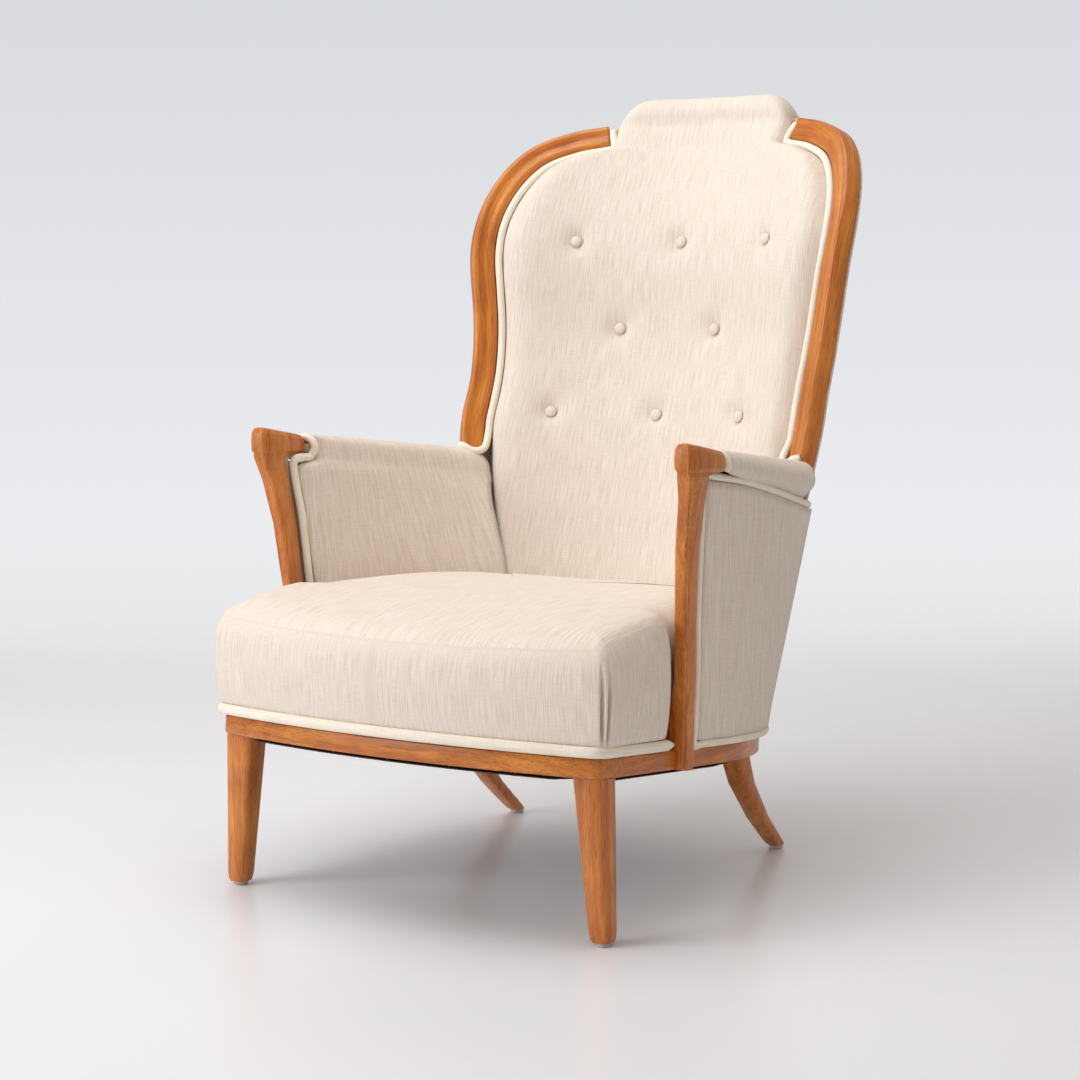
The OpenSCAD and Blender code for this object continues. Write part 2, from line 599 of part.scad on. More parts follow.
function carved(centre, w, d) =
    let (ring = rounded_ring(centre, w, d, 4, carved_points))
    [for (i = [0:carved_points - 1])
        i == groove_point ? ring[i] + unit(centre - ring[i]) * groove_deep : ring[i]];
function post_ring(i) =
    let (z = post_foot_z + post_rise * post_rise_shares[i],
         out = frame_half_w + post_stand + post_flare * post_out_shares[i],
         face = out - post_t * post_thick_shares[i],
         inner = lerp(face, post_foot.x, post_lap_shares[i]),
         front = post_foot_front - post_reach * post_reach_shares[i],
         deep = post_d * post_deep_shares[i])
    [for (p = carved([(out + inner) / 2, front + deep / 2], out - inner, deep))
        [p.x, p.y, i > 0 ? z : rail_at(p.y)]];
function knuckle_ring(i) =
    let (inset = knuckle_w * knuckle_inset_shares[i], h = knuckle_h * knuckle_rise_shares[i])
    [for (p = carved([knuckle_out - knuckle_w / 2, knuckle_front + knuckle_l / 2],
                     knuckle_w - 2 * inset, knuckle_l - 2 * inset))
        [p.x, p.y, knuckle_low + h - (p.y - knuckle_front) * knuckle_fall_shares[i]]];
knuckle_ring_last = len(knuckle_rise_shares) - 1;
module arm_post(side) color(wood) on_side(side) difference() {
    loft(concat([for (i = [0:len(post_rise_shares) - 1]) post_ring(i)],
        [for (i = [0:knuckle_ring_last]) knuckle_ring(i)]));
    tilted() post_screw_set(fit);
    arm_dowel_set(fit);
}
module left_arm_post() arm_post(1);
module right_arm_post() arm_post(-1);

// The line where the inside back cover is tucked in beside the stile, and how far the padding stands out.
edge_in = stile_w / 2 + welt_d + gap;
core_depth = 8;
column_shares = [0, 0.16, 0.32, 0.47, 0.62, 0.76, 0.87, 0.945, 0.985, 1];
column_rises = [1, 1, 1, 1, 1, 1, 0.95, 0.75, 0.4, 0];
function tuck(k) = beside_stile(k, -edge_in, 0);
tuck_line = [for (k = [0.4:0.3:3.1]) tuck(k)];
function tuck_x(z) = curve([for (p = tuck_line) p.z], [for (p = tuck_line) p.x], z);
function cover_out(x) = core_depth + pad_rise + pad_scoop * pow(x / back_half_w, 2);
function cover_depth(x, z) = let (s = abs(x) / tuck_x(z))
    min(-over, core_depth - cover_out(x) * (s < 1 ? curve(column_shares, column_rises, s) : 0));
function back_face_y(x, z) = let (d = cover_depth(x, z), n = barrel_normal(x, z))
    on_barrel(x - n.x * d, z - n.z * d, d).y;

// The upholstered arm. A share of 0 is at the knuckle and 1 is at the back.
arm_low_z = 325;
arm_low_front = 268;
arm_low_rear = 186;
roll_front_out = knuckle_out - 2;
roll_rear_out = knuckle_out - 22;
roll_front_top = arm_h - 14;
roll_rear_top = roll_front_top - roll_drop - 6;
function roll_rx(s) = lerp(roll_r * 0.69, roll_r * 1.17, s);
function roll_rz(s) = lerp(roll_r * 0.62, roll_r * 0.9, s);
function roll_cx(s) = lerp(roll_front_out, roll_rear_out, s) - roll_rx(s);
function roll_cz(s) = lerp(roll_front_top, roll_rear_top, s) - roll_rz(s);
arm_rise_shares = [0, 0.255, 0.553, 0.809, 0.881, 0.917];
arm_out_shares = [0, 0.12, 0.45, 0.85, 0.94, 0.97];
roll_turns = [0, 0.15, 0.3, 0.45, 0.6, 0.75, 0.9, 1];
arm_face_rows = len(arm_rise_shares);
arm_rows = arm_face_rows + len(roll_turns);
function roll_end(s) = lerp(-40, -70, s);
function arm_point(j, s, inset) =
    let (rx = roll_rx(s) - inset, rz = roll_rz(s) - inset, cx = roll_cx(s), cz = roll_cz(s))
    j < arm_face_rows
        ? [lerp(lerp(arm_low_front, arm_low_rear, s) + inset, cx - rx, arm_out_shares[j]),
           lerp(arm_low_z, roll_cz(s), arm_rise_shares[j])]
        : let (a = lerp(180, roll_end(s), roll_turns[j - arm_face_rows]))
          [cx + rx * cos(a), cz + rz * sin(a)];
post_zs = [for (share = post_rise_shares) post_foot_z + post_rise * share];
post_rears = [for (i = [0:len(post_zs) - 1])
    post_foot_front - post_reach * post_reach_shares[i] + post_d * post_deep_shares[i]];
post_fronts = [for (share = post_reach_shares) post_foot_front - post_reach * share];
post_inners = [for (i = [0:len(post_zs) - 1])
    frame_half_w + post_stand + post_flare * post_out_shares[i] - post_t * post_thick_shares[i]];
function post_front(z) = curve(post_zs, post_fronts, z);
function post_rear(z) = curve(post_zs, post_rears, z);
function post_inner(z) = curve(post_zs, post_inners, z);
knuckle_back = knuckle_rear + welt_d + 2 * gap;
function arm_front_y(j) = let (z = arm_point(j, 0, 0).y)
    j < arm_face_rows - 1 ? post_rear(z) + welt_d + 2 * gap : knuckle_back;
arm_end_gap = 4.6;
arm_rear_x = 262;
function arm_rear_y(p) = back_face_y(min(p.x, arm_rear_x), p.y) - max(0, p.x - arm_rear_x) * 0.15 - arm_end_gap;
arm_steps = 4;
function arm_row(j, inset, trim = 0) =
    let (rear = arm_rear_y(arm_point(j, 1, 0)), front = arm_front_y(j))
    [for (i = [arm_steps:-1:0])
        let (s = lerp(trim, 1 - trim, i / arm_steps), p = arm_point(j, s, inset)) [p.x, lerp(front, rear, s), p.y]];
module inside_arm_cover(side) color(linen) on_side(side)
    skin([for (j = [0:arm_rows - 1]) arm_row(j, 0)], [for (j = [0:arm_rows - 1]) arm_row(j, cloth_t)]);
module left_inside_arm_cover() inside_arm_cover(1);
module right_inside_arm_cover() inside_arm_cover(-1);

// Horsehair pad under the arm's cover, with hessian behind it.
arm_trim_share = 0.012;
arm_pad_space = cloth_t + 2 * gap;
function arm_pad_t(j) = j < arm_face_rows - 2 ? 12 : 6;
module arm_pad(side) color(hair) on_side(side)
    skin([for (j = [0:arm_rows - 1]) arm_row(j, arm_pad_space, arm_trim_share)],
        [for (j = [0:arm_rows - 1]) arm_row(j, arm_pad_space + arm_pad_t(j), arm_trim_share)]);
module left_arm_pad() arm_pad(1);
module right_arm_pad() arm_pad(-1);
hessian_t = 1.3;
arm_hessian_in = arm_pad_space + gap + arm_pad_t(0);
module arm_hessian(side) color(jute) on_side(side)
    skin([for (j = [0:arm_face_rows - 3]) arm_row(j, arm_hessian_in, arm_trim_share)],
        [for (j = [0:arm_face_rows - 3]) arm_row(j, arm_hessian_in + hessian_t, arm_trim_share)]);
module left_arm_hessian() arm_hessian(1);
module right_arm_hessian() arm_hessian(-1);

// The arm rail joins the knuckle to the stile inside the roll.
rail_front_size = [17, 13];
rail_rear_size = [20, 16];
arm_rail_back = back_face_y(arm_rear_x, roll_cz(1)) + stile_d * 0.55;
arm_rail_front = [roll_cx(0), knuckle_rear + gap, roll_cz(0) - over];
arm_rail_rear = [roll_cx(1) - 5, arm_rail_back, roll_cz(1) - over];
arm_rail_dir = arm_rail_rear - arm_rail_front;
function arm_rail_ring(s) = let (size = lerp(rail_front_size, rail_rear_size, s), at = lerp(arm_rail_front, arm_rail_rear, s))
    [for (p = rounded_ring([0, 0], size.x, size.y, 4, 12)) [at.x - p.x, at.y, at.z + p.y]];
module stile_body(grow) loft([for (k = [1:1 / 3:3.1])
    [for (i = [len(stile_across_shares) - 1:-1:0])
        beside_stile(k, stile_across_shares[i] * (stile_w / 2 + grow), lerp(-grow, stile_d + grow, stile_deep_shares[i]))]]);
module arm_rail(side) color(beech) on_side(side) difference() {
    loft([arm_rail_ring(0), arm_rail_ring(1)]);
    stile_body(gap);
    arm_dowel_set(fit);
}
module left_arm_rail() arm_rail(1);
module right_arm_rail() arm_rail(-1);
arm_rear_dowel = lerp(arm_rail_front, arm_rail_rear, 0.91);
module arm_dowel_set(room = 0) both_sides() {
    translate(arm_rail_front) aim(arm_rail_dir) dowel(dowel_d + 2 * room, dowel_l + 2 * room);
    translate(arm_rear_dowel) aim(arm_rail_dir) dowel(dowel_d + 2 * room, dowel_l + 2 * room);
}

// Seat. The outline runs from the middle of the front to the middle of the back, with the way inward.
seat_overhang = 10;
seat_low_over = seat_over - seat_overhang;
seat_back_y = front_y + frame_depth - 14;
function seat_front_y(x) = front_y + front_arc.y - sqrt(front_arc_r * front_arc_r - x * x) - seat_overhang;
function seat_rear_y(x) = seat_back_y - 1.25 * sag(x);
seat_w = frame_half_w + seat_over;
ear_y = post_foot_front - post_reach / 2;
function arm_side_x(y) = lerp(arm_low_front, arm_low_rear, (y - arm_front_y(0)) / (arm_rear_y(arm_point(0, 1, 0)) - arm_front_y(0))) - over;
seat_outline = concat(
    [for (x = [0, 0.25, 0.5, 0.71, 0.84] * seat_w) [[x, seat_front_y(x)], [0, 1]]],
    [[[seat_w - 26, seat_front_y(seat_w - 26)], [-0.4, 0.92]], [[seat_w - 8, front_y - 4], [-0.7, 0.7]],
     [[seat_w - 1, front_y + 14], [-0.92, 0.4]], [[seat_w, front_y + 60], [-1, 0]],
     [[seat_w, ear_y - 30], [-1, 0]], [[seat_w - 4, ear_y - 17], [-1, 0]], [[seat_w - 8, ear_y - 15], [-1, 0]],
     [[seat_w - 18, ear_y - 12], [-1, 0]], [[seat_w - 26, ear_y - 7], [-1, 0]]],
    [for (y = [ear_y + 24, ear_y + 110, ear_y + 215, ear_y + 316]) [[arm_side_x(y), y], [-1, 0]]],
    [[[0.57 * seat_w, seat_rear_y(0.6 * seat_w)], [-0.6, -0.8]]],
    [for (x = [0.41, 0.21, 0] * seat_w) [[x, seat_rear_y(x)], [0, -1]]]);
seat_top_y = [-1.15, -0.98, -0.79, -0.55, -0.36, -0.15, 0.06, 0.255, 0.41];
seat_top_fall = [27, 17, 6, 1, 0, 1, 7, 17, 25];
function seat_top(y) = seat_h - curve([for (s = seat_top_y) s * front_corner_y], seat_top_fall, y);
function seat_bottom(p) = p.y < ear_y - 16 ? rail_at(p.y, lip_h) + gap : rail_at(p.y, rail_h) + 2 * gap + hessian_t;
function seat_half_ring(inset, h, toward, thick) = [for (e = seat_outline)
    let (q = e[0] + e[1] * inset, p = [q.x * (1 - toward), lerp(q.y, -front_corner_y / 3, toward)],
         back = e[1].y < -0.5 ? 10 * h * (1 - toward) : 0)
    [p.x, p.y + back, lerp(seat_bottom(q), seat_top(p.y) - thick, h)]];
function both_halves(half) = let (n = len(half))
    concat(half, [for (i = [n - 2:-1:1]) [-half[i].x, half[i].y, half[i].z]]);
cover_insets = [0.36, 0.34, 0.12, 0, 0.01, 0.09, 0.26, 0.54, 1];
cover_heights = [0, 0.09, 0.115, 0.42, 0.66, 0.8, 0.9, 0.965, 0.992];
crown_shares = [0.25, 0.55];
function seat_rings(thick) = concat(
    [for (i = [0:len(cover_insets) - 1])
        both_halves(seat_half_ring(cover_insets[i] * seat_edge_r + thick, cover_heights[i], 0, thick))],
    [for (s = crown_shares) both_halves(seat_half_ring(seat_edge_r + thick, 1, s, thick))]);
module seat_cover() color(linen) difference() {
    loft(seat_rings(0));
    loft(concat([[for (p = seat_rings(cloth_t)[0]) p - [0, 0, lip_h]]],
        [for (i = [1:len(cover_insets) + len(crown_shares) - 1]) seat_rings(cloth_t)[i]]));
    tilted() hessian_dome(gap);
}

// Pad of fibre and horsehair on the sprung hessian.
pad_space = cloth_t + 2 * over;
pad_low_ring = 2;
module seat_pad() color(hair) difference() {
    loft([for (i = [pad_low_ring:len(cover_insets) + len(crown_shares) - 1]) seat_rings(pad_space)[i]]);
    tilted() {
        translate([-total_h / 2, -total_h / 2, -total_h])
            cube([total_h, 2 * total_h, total_h + rail_h + hessian_t + 2 * gap]);
        hessian_dome(gap);
    }
    stile_room();
}
module stile_room() both_sides() loft([for (k = [0:1 / 3:1.1])
    [for (i = [len(stile_across_shares) - 1:-1:0])
        beside_stile(k, stile_across_shares[i] * (stile_w / 2 + gap), lerp(-gap, stile_d + gap, stile_deep_shares[i]))
            - [0, 0, k > 0 ? 0 : 20]]]);

// Hessian over the springs, tacked down on the rails' upper edges.
plateau = spring_h + gap;
hessian_outline = [[0, -28], [0.5, -19], [0.96, 14], [0.98, 44], [0.98, side_straight], [0.94, side_straight + 105],
    [0.82, side_straight + 150], [0.725, side_straight + 167], [0.58, side_straight + 196],
    [0.29, side_straight + 217], [0, side_straight + 225]];
function hessian_ring(inset, z) = both_halves([for (p = hessian_outline)
    [p.x * (frame_half_w - lip_t - inset), lerp(p.y, frame_depth / 2, inset / (frame_depth / 2)), z]]);
module hessian_dome(lift) loft([hessian_ring(-gap, rail_h - over), hessian_ring(-gap, rail_h + gap + hessian_t + lift),
    hessian_ring(24, rail_h + gap + hessian_t + lift), hessian_ring(78, plateau + hessian_t + lift)]);
module seat_hessian() color(jute) tilted() difference() {
    loft([hessian_ring(0, rail_h + gap), hessian_ring(0, rail_h + gap + hessian_t),
        hessian_ring(24, rail_h + gap + hessian_t), hessian_ring(80, plateau + hessian_t)]);
    loft([hessian_ring(26, rail_h - over), hessian_ring(26, rail_h + gap), hessian_ring(81, plateau)]);
}

// Springs stand on the straps that run from front to back. Each is one wire wound without a break.
spring_end_r = 34;
spring_waist_r = 24;
spring_xs = [-132, 0, 132];
spring_ys = [128, 244, 360];
ring_points = 7;
spring_path = [for (i = [0:curls * ring_points])
    let (t = i / (curls * ring_points), a = 360 * curls * t, r = lerp(spring_end_r, spring_waist_r, sin(180 * t)))
    [r * cos(a), r * sin(a), lerp(wire_d / 2, spring_h - wire_d / 2, clamp((t * curls - 0.5) / (curls - 1)))]];
coil_gaps = [for (i = [0:len(spring_path) - 1], j = [i + 4:1:len(spring_path) - 1])
    norm(spring_path[i] - spring_path[j]) - wire_d];
echo(least_gap_between_curls = min(coil_gaps));
module seat_springs() color(steel) tilted() for (x = spring_xs, y = spring_ys)
    translate([x, y]) sweep(spring_path, round_section(wire_d, 5), [1, 0, 0]);
strap_w = 50;
strap_front = [-20, -30, -20];
strap_rear = [512, 528, 512];
cross_half = [270, 270, 260];
module seat_webbing() color(jute) tilted() difference() {
    union() {
        for (i = [0:len(spring_xs) - 1]) translate([spring_xs[i] - strap_w / 2, strap_front[i], web_low])
            cube([strap_w, strap_rear[i] - strap_front[i], web_t]);
        for (i = [0:len(spring_ys) - 1]) translate([-cross_half[i], spring_ys[i] - strap_w / 2, web_cross])
            cube([2 * cross_half[i], strap_w, web_t]);
    }
    tack_set(fit);
}
leg_clear = 4;
module dust_cover() color("#2e2b28") tilted() translate([0, 0, dust_top - dust_t]) difference() {
    linear_extrude(dust_t) polygon(concat(
        [for (i = [-6:6]) let (a = i / 6 * (front_angle - 3)) front_arc + (front_arc_r - tack_in / 2) * [sin(a), -cos(a)]],
        [[front_leg.x - front_leg_w / 2 - leg_clear, front_leg.y], [front_leg.x - front_leg_w / 2 - leg_clear, front_leg.y + front_leg_w / 2 + leg_clear],
         [frame_half_w - tack_in / 2, front_leg.y + front_leg_w / 2 + leg_clear], [frame_half_w - tack_in / 2, side_straight]],
        [[rear_leg.x + rear_leg_w, rear_leg.y - rear_leg_d], [rear_leg.x - rear_leg_w / 2 - 3 * leg_clear, rear_leg.y - rear_leg_d]],
        [for (i = [5:-1:-5]) let (a = 90 - i / 5 * 24) rear_arc + (barrel_r - tack_in / 2) * [cos(a), sin(a)]],
        [[-rear_leg.x + rear_leg_w / 2 + 3 * leg_clear, rear_leg.y - rear_leg_d], [-rear_leg.x - rear_leg_w, rear_leg.y - rear_leg_d]],
        [[-frame_half_w + tack_in / 2, side_straight], [-frame_half_w + tack_in / 2, front_leg.y + front_leg_w / 2 + leg_clear],
         [-front_leg.x + front_leg_w / 2 + leg_clear, front_leg.y + front_leg_w / 2 + leg_clear], [-front_leg.x + front_leg_w / 2 + leg_clear, front_leg.y]]));
    translate([0, 0, dust_t - dust_top]) tack_set(fit);
}

// Upholstery of the back: straps, hessian, pad and buttoned cover, all on the barrel.
bow_ks = [0.72, 1.2, 1.7, 2.1, 2.41, 2.75, 3.1, 3.45, 3.75, 4.1, 4.5, 4.94, 5.4, 5.8, 6.2, 6.6, 7, 7.5, 8.1, 9];
crest_core_depth = 24;
crest_low_zs = [980, 994];
crest_tail = 16;
crest_turns = [0, 30, 60, 90, 120, 150, 180];
crest_out_shares = [0.69, 0.78, 0.9, 1, 0.88, 0.55, 0.35];
crest_edge_outs = [17, 19, 21.5, 24.2, 21.5, 17.5, 15.5];
crest_out = total_h - on_barrel(0, crest_z, crest_core_depth).z;
full_columns = concat([for (i = [len(column_shares) - 1:-1:1]) -column_shares[i]], column_shares);
function rise(share) = curve(column_shares, column_rises, abs(share));
// Buttons: the row's place on the stile and the share of the half width.
button_rows = [4.94, 3.75, 2.41];
button_columns = [[-0.62, 0, 0.62], [-0.32, 0.32], [-0.62, 0, 0.62]];
button_reach = 20;
function bow_core(k, share, inset = 0) = let (e = tuck(k)) on_barrel(share * (e.x - inset), e.z, core_depth);
function bow_normal(k, share) = let (e = tuck(k)) barrel_normal(share * e.x, e.z);
function bow_surface(k, share, inset = 0) = bow_core(k, share, inset)
    - bow_normal(k, share) * (cover_out(share * tuck(k).x) * rise(share));
button_places = [for (i = [0:len(button_rows) - 1], c = button_columns[i])
    [bow_surface(button_rows[i], c), bow_normal(button_rows[i], c)]];
function pull(p) = button_pull * max([for (b = button_places) exp(-pow(norm(p - b[0]) / button_reach, 2))]);
function bow_point(k, share, inset) = let (p = bow_surface(k, share, inset), n = bow_normal(k, share))
    p + n * (pull(bow_surface(k, share)) + inset);
function crest_half(inset) = crest_half_w - inset;
function crest_low_point(z, share, inset) = let (x = share * crest_half(inset), n = barrel_normal(x, z))
    on_barrel(x, z, core_depth) - n * (cover_out(x) * rise(share) - inset);
function crest_point(i, share, inset, z = crest_z) =
    let (x = share * crest_half(inset), n = barrel_normal(x, z), a = crest_turns[i],
         out = lerp(crest_edge_outs[i], crest_out * crest_out_shares[i], rise(share)) - inset)
    on_barrel(x, z, crest_core_depth) + ([0, 0, 1] * sin(a) - n * cos(a)) * out;
function back_grid(inset, ks, columns) = concat(
    [for (k = ks) [for (c = columns) bow_point(k, c, inset)]],
    [for (z = crest_low_zs) [for (c = columns) crest_low_point(z, c, inset)]],
    [for (i = [0:len(crest_turns) - 1]) [for (c = columns) crest_point(i, c, inset)]]);
function crest_flat(x, up, depth) = on_barrel(x, crest_z, depth) + [0, 0, up];
// The cover ends in a row that is tacked down on the back of the crest rail.
function cover_grid(inset) = concat(back_grid(inset, bow_ks, full_columns),
    [[for (c = full_columns)
        crest_flat(c * crest_half(inset), -crest_tail, cross_rail_depth + cross_rail_t + gap + cloth_t - inset)]]);
module inside_back_cover() color(linen) skin(cover_grid(0), cover_grid(cloth_t));

pad_ks = [0.9, 1.2, 1.8, 2.41, 3.1, 3.75, 4.4, 4.94, 5.6, 6.2, 6.8, 7.5, 8.1, 9];
pad_columns = [-1, -0.8, -0.62, -0.47, -0.32, -0.16, 0, 0.16, 0.32, 0.47, 0.62, 0.8, 1];
back_pad_space = cloth_t + 1.8 * over;
pad_back = 13;
crest_inner_outs = [11, 13.2, 16.5, 19, 16.5, 12.5, 10.5];
function pad_back_grid() = concat(
    [for (k = pad_ks) [for (c = pad_columns) let (e = tuck(k)) on_barrel(c * (e.x - back_pad_space), e.z, pad_back)]],
    [for (z = crest_low_zs) [for (c = pad_columns) on_barrel(c * crest_half(back_pad_space), z, pad_back)]],
    [for (i = [0:len(crest_turns) - 1]) [for (c = pad_columns)
        let (x = c * crest_half(back_pad_space), n = barrel_normal(x, crest_z), a = crest_turns[i])
        on_barrel(x, crest_z, crest_core_depth) + ([0, 0, 1] * sin(a) - n * cos(a)) * crest_inner_outs[i]]]);
module back_pad() color(hair) skin(back_grid(back_pad_space, pad_ks, pad_columns), pad_back_grid());

// Hessian behind the pad, with the same rows.
hessian_depth = pad_back + gap;
crest_up = 6;
function hessian_grid(depth) = concat(
    [for (k = pad_ks) [for (c = pad_columns) let (e = tuck(k)) on_barrel(c * (e.x - back_pad_space), e.z, depth)]],
    [for (z = crest_low_zs) [for (c = pad_columns) on_barrel(c * crest_half(back_pad_space), z, depth)]],
    [for (up = [0, crest_up]) [for (c = pad_columns) crest_flat(c * crest_half(back_pad_space), up, depth)]]);
module back_hessian() color(jute) skin(hessian_grid(hessian_depth), hessian_grid(hessian_depth + hessian_t));

// Straps up the back lie on the fronts of both rails, and straps across it lie behind them.
strap_depth = hessian_depth + hessian_t + gap;
back_strap_xs = [-99, -33, 33, 99];
cross_strap_ks = [2.1, 3.1, 4.1, 5.1];
cross_strap_h = 40;
function strap_ring(x, z, up) = let (w = strap_w / 2, d = strap_depth, e = d + web_t)
    [for (p = [[-w, d], [0, d], [w, d], [w, e], [0, e], [-w, e]]) on_barrel(x + p.x, z, p.y) + [0, 0, up]];
module back_webbing() color(jute) {
    for (x = back_strap_xs) loft(concat([for (k = [for (k = pad_ks) if (k > 1) k]) strap_ring(x, tuck(k).z, 0)],
        [for (z = crest_low_zs) strap_ring(x, z, 0)], [for (up = [0, crest_up]) strap_ring(x, crest_z, up)]));
    for (k = cross_strap_ks) {
        e = beside_stile(k, -stile_w / 2 - 3 * gap, 0);
        loft([for (i = [5:-1:-5]) let (x = (e.x - cross_strap_h / 8) * i / 5, h = cross_strap_h / 2,
                d = strap_depth + web_t + gap + over)
            [on_barrel(x, e.z - h, d), on_barrel(x, e.z + h, d), on_barrel(x, e.z + h, d + web_t),
             on_barrel(x, e.z - h, d + web_t)]]);
    }
}

// Covered buttons: a dome and a short shank that is tied through the back.
button_t = 5;
button_lift = 5.6;
shank_d = 4;
module back_buttons() color(linen) for (b = button_places) translate(b[0] + b[1] * button_pull) aim(-b[1]) {
    translate([0, 0, button_lift]) intersection() {
        translate([0, 0, button_t - button_d]) sphere(r = button_d, $fn = 48);
        cylinder(d = button_d, h = button_t, $fn = 48);
    }
    translate([0, 0, gap]) cylinder(d = shank_d, h = button_lift, $fn = 20);
}

// Piped welts on both sides of the inside back: up beside the bow and round its end.
welt_ks = [1.95, 2.3, 2.7, 3.1, 3.5, 3.9, 4.3, 4.7, 5.1, 5.5, 5.9, 6.2, 6.5, 6.8, 7.1, 7.4, 7.7, 8, 8.3, 8.6, 8.9];
welt_across = stile_w / 2 + welt_d / 2 + gap / 2;
welt_depth = 3;
function end_welt(across, depth) = beside_stile(stile_end, across, depth) + stile_dir(stile_end) * (welt_d / 2 + gap / 2);
welt_tip = [beside_stile(stile_end, -welt_across, welt_depth),
    beside_stile(stile_end, -stile_w / 2 - welt_d * 0.42, welt_depth) + stile_dir(stile_end) * welt_d * 0.42,
    end_welt(-stile_w / 2, 2), end_welt(0, 1), end_welt(0.4 * stile_w, 4), end_welt(0.5 * stile_w, 12)];
back_welt_path = concat([for (k = welt_ks) beside_stile(k, -welt_across, welt_depth)], welt_tip);
module back_welts() color(cream) both_sides()
    sweep(back_welt_path, round_section(welt_d - 2 * gap, 6), stile_normal(2));

// Seat welt: a thick cord that lies on the lip, from post to post round the front.
seat_welt_h = 14;
seat_welt_w = 11;
welt_x = frame_half_w + seat_low_over - over;
seat_welt_half = concat([[welt_x, ear_y - 20], [welt_x, ear_y - 70], [welt_x, front_y + 40], [welt_x, front_y + 14],
    [welt_x - 4, front_y + 1], [welt_x - 15, front_y - 8]],
    [for (x = [0.84, 0.7, 0.52, 0.35, 0.17, 0] * frame_half_w) [x, seat_front_y(x) + seat_low_over]]);
seat_welt_path = [for (p = concat(seat_welt_half, [for (i = [len(seat_welt_half) - 2:-1:0])
    [-seat_welt_half[i].x, seat_welt_half[i].y]])) [p.x, p.y, rail_at(p.y, lip_h) + gap + seat_welt_h / 2]];
module seat_welt() color(cream)
    sweep(seat_welt_path, [for (p = round_section(1, 8)) [p.x * seat_welt_h, p.y * seat_welt_w]], [0, 0, 1]);

// Arm welts run up behind the post, under the knuckle and round the front of the roll.
welt_r = welt_d / 2;
knuckle_gap = knuckle_rear + welt_r + gap;
arm_welt_path = concat(
    [for (z = [342, 385, 430, 475, 510]) [post_inner(z) - 1, post_rear(z) + welt_r + gap, z]],
    [[post_inner(528) - 3, post_rear(528) + welt_r + 2 * gap, 527], [knuckle_out - knuckle_w - 3, post_rear(540) + 16, 541.5],
     [knuckle_out - knuckle_w - 4, knuckle_gap - 11, 545]],
    [for (a = [205:-25:-45]) [roll_cx(0) + (roll_rx(0) - welt_r + over) * cos(a), knuckle_gap, roll_cz(0) + (roll_rz(0) - welt_r + over) * sin(a)]]);
module arm_welt(side) color(cream) on_side(side)
    sweep(arm_welt_path, round_section(welt_d - gap, 6), [-1, 0, 0]);
module left_arm_welt() arm_welt(1);
module right_arm_welt() arm_welt(-1);

// Outside arm panel: linen on a stiff backing, from the lip to the roll and from the post to the stile.
panel_t = 5;
panel_low_x = [300, 299, 289, 268, 248];
panel_low_y = [post_rear(rail_at(post_foot_front, lip_h)) + welt_d + over, -82, 6, 76, 116];
panel_high_x = [326, 324, 318, 307, 299];
panel_high_y = [post_rear(roll_cz(0) - welt_d * 2) + welt_d + over, -98, 2, 92, 158];
panel_high_z = [536, 520, 503, 490, 484];
panel_last = len(panel_low_x) - 1;
panel_ss = [0, 0.5, 1, 1.5, 2, 2.5, 3, 3.5, 4, 5];
panel_hs = [0, 0.2, 0.4, 0.6, 0.8, 1];
stile_ks = [for (k = [0:0.3:3]) k];
stile_zs = [for (k = stile_ks) stile_at(k).z];
function stile_k(z) = curve(stile_zs, stile_ks, max(z, stile_zs[0]));
function panel_face(s, h) =
    let (low = [along(panel_low_x, s), along(panel_low_y, s)],
         a = [low.x, low.y, rail_at(low.y, lip_h) + welt_d + gap],
         b = [along(panel_high_x, s), along(panel_high_y, s), along(panel_high_z, s)])
    lerp(a, b, h);
// The last column turns in to the outer side of the stile.
function panel_turn(h) = let (z = panel_face(panel_last, h).z,
        p = beside_stile(stile_k(z), stile_w / 2 + panel_t + over, stile_d * 0.7)) [p.x, p.y, z];
function panel_place(s, h) = s > panel_last
    ? lerp(panel_face(panel_last, h), panel_turn(h), s - panel_last) : panel_face(s, h);
function panel_out(s, h) = let (e = panel_place(min(panel_last + 1, s + 0.2), h) - panel_place(max(0, s - 0.2), h))
    unit([e.y, -e.x, 0]);
function panel_grid(depth) = [for (h = panel_hs) [for (s = panel_ss) panel_place(s, h) - panel_out(s, h) * depth]];
module outside_arm_panel(side) color(linen) on_side(side) skin(panel_grid(0), panel_grid(panel_t));
module left_outside_arm_panel() outside_arm_panel(1);
module right_outside_arm_panel() outside_arm_panel(-1);

// Its welt runs along the lip, up beside the post and back under the roll.
panel_welt_in = welt_r - over;
function beside_panel(s, h, up) = panel_place(s, h) - panel_out(s, h) * panel_welt_in + [0, 0, up];
function post_side(z) = let (h = (z - panel_place(0, 0).z) / (panel_place(0, 1).z - panel_place(0, 0).z), p = panel_place(0, h))
    [p.x - panel_welt_in, post_rear(z) + welt_r + gap, z];
panel_welt_low = panel_place(0, 0).z - welt_r - gap / 2;
panel_welt_high = panel_place(0, 1).z + welt_r + gap / 2;
panel_welt_path = concat(
    [for (s = [4, 3.5, 3, 2.5, 2, 1.5, 1, 0.5, 0.15]) beside_panel(s, 0, -welt_r - gap / 2)],
    [for (z = [panel_welt_low, 235, 270, 310, 355, 400, 450, 500, panel_welt_high]) post_side(z)],
    [for (s = [0.15, 0.5, 1, 1.5, 2, 2.5, 3, 3.5, 4]) beside_panel(s, 1, welt_r + gap / 2)]);
module panel_welt(side) color(cream) on_side(side)
    sweep(panel_welt_path, round_section(welt_d - 2 * gap, 6), [0, 0, 1]);
module left_panel_welt() panel_welt(1);
module right_panel_welt() panel_welt(-1);

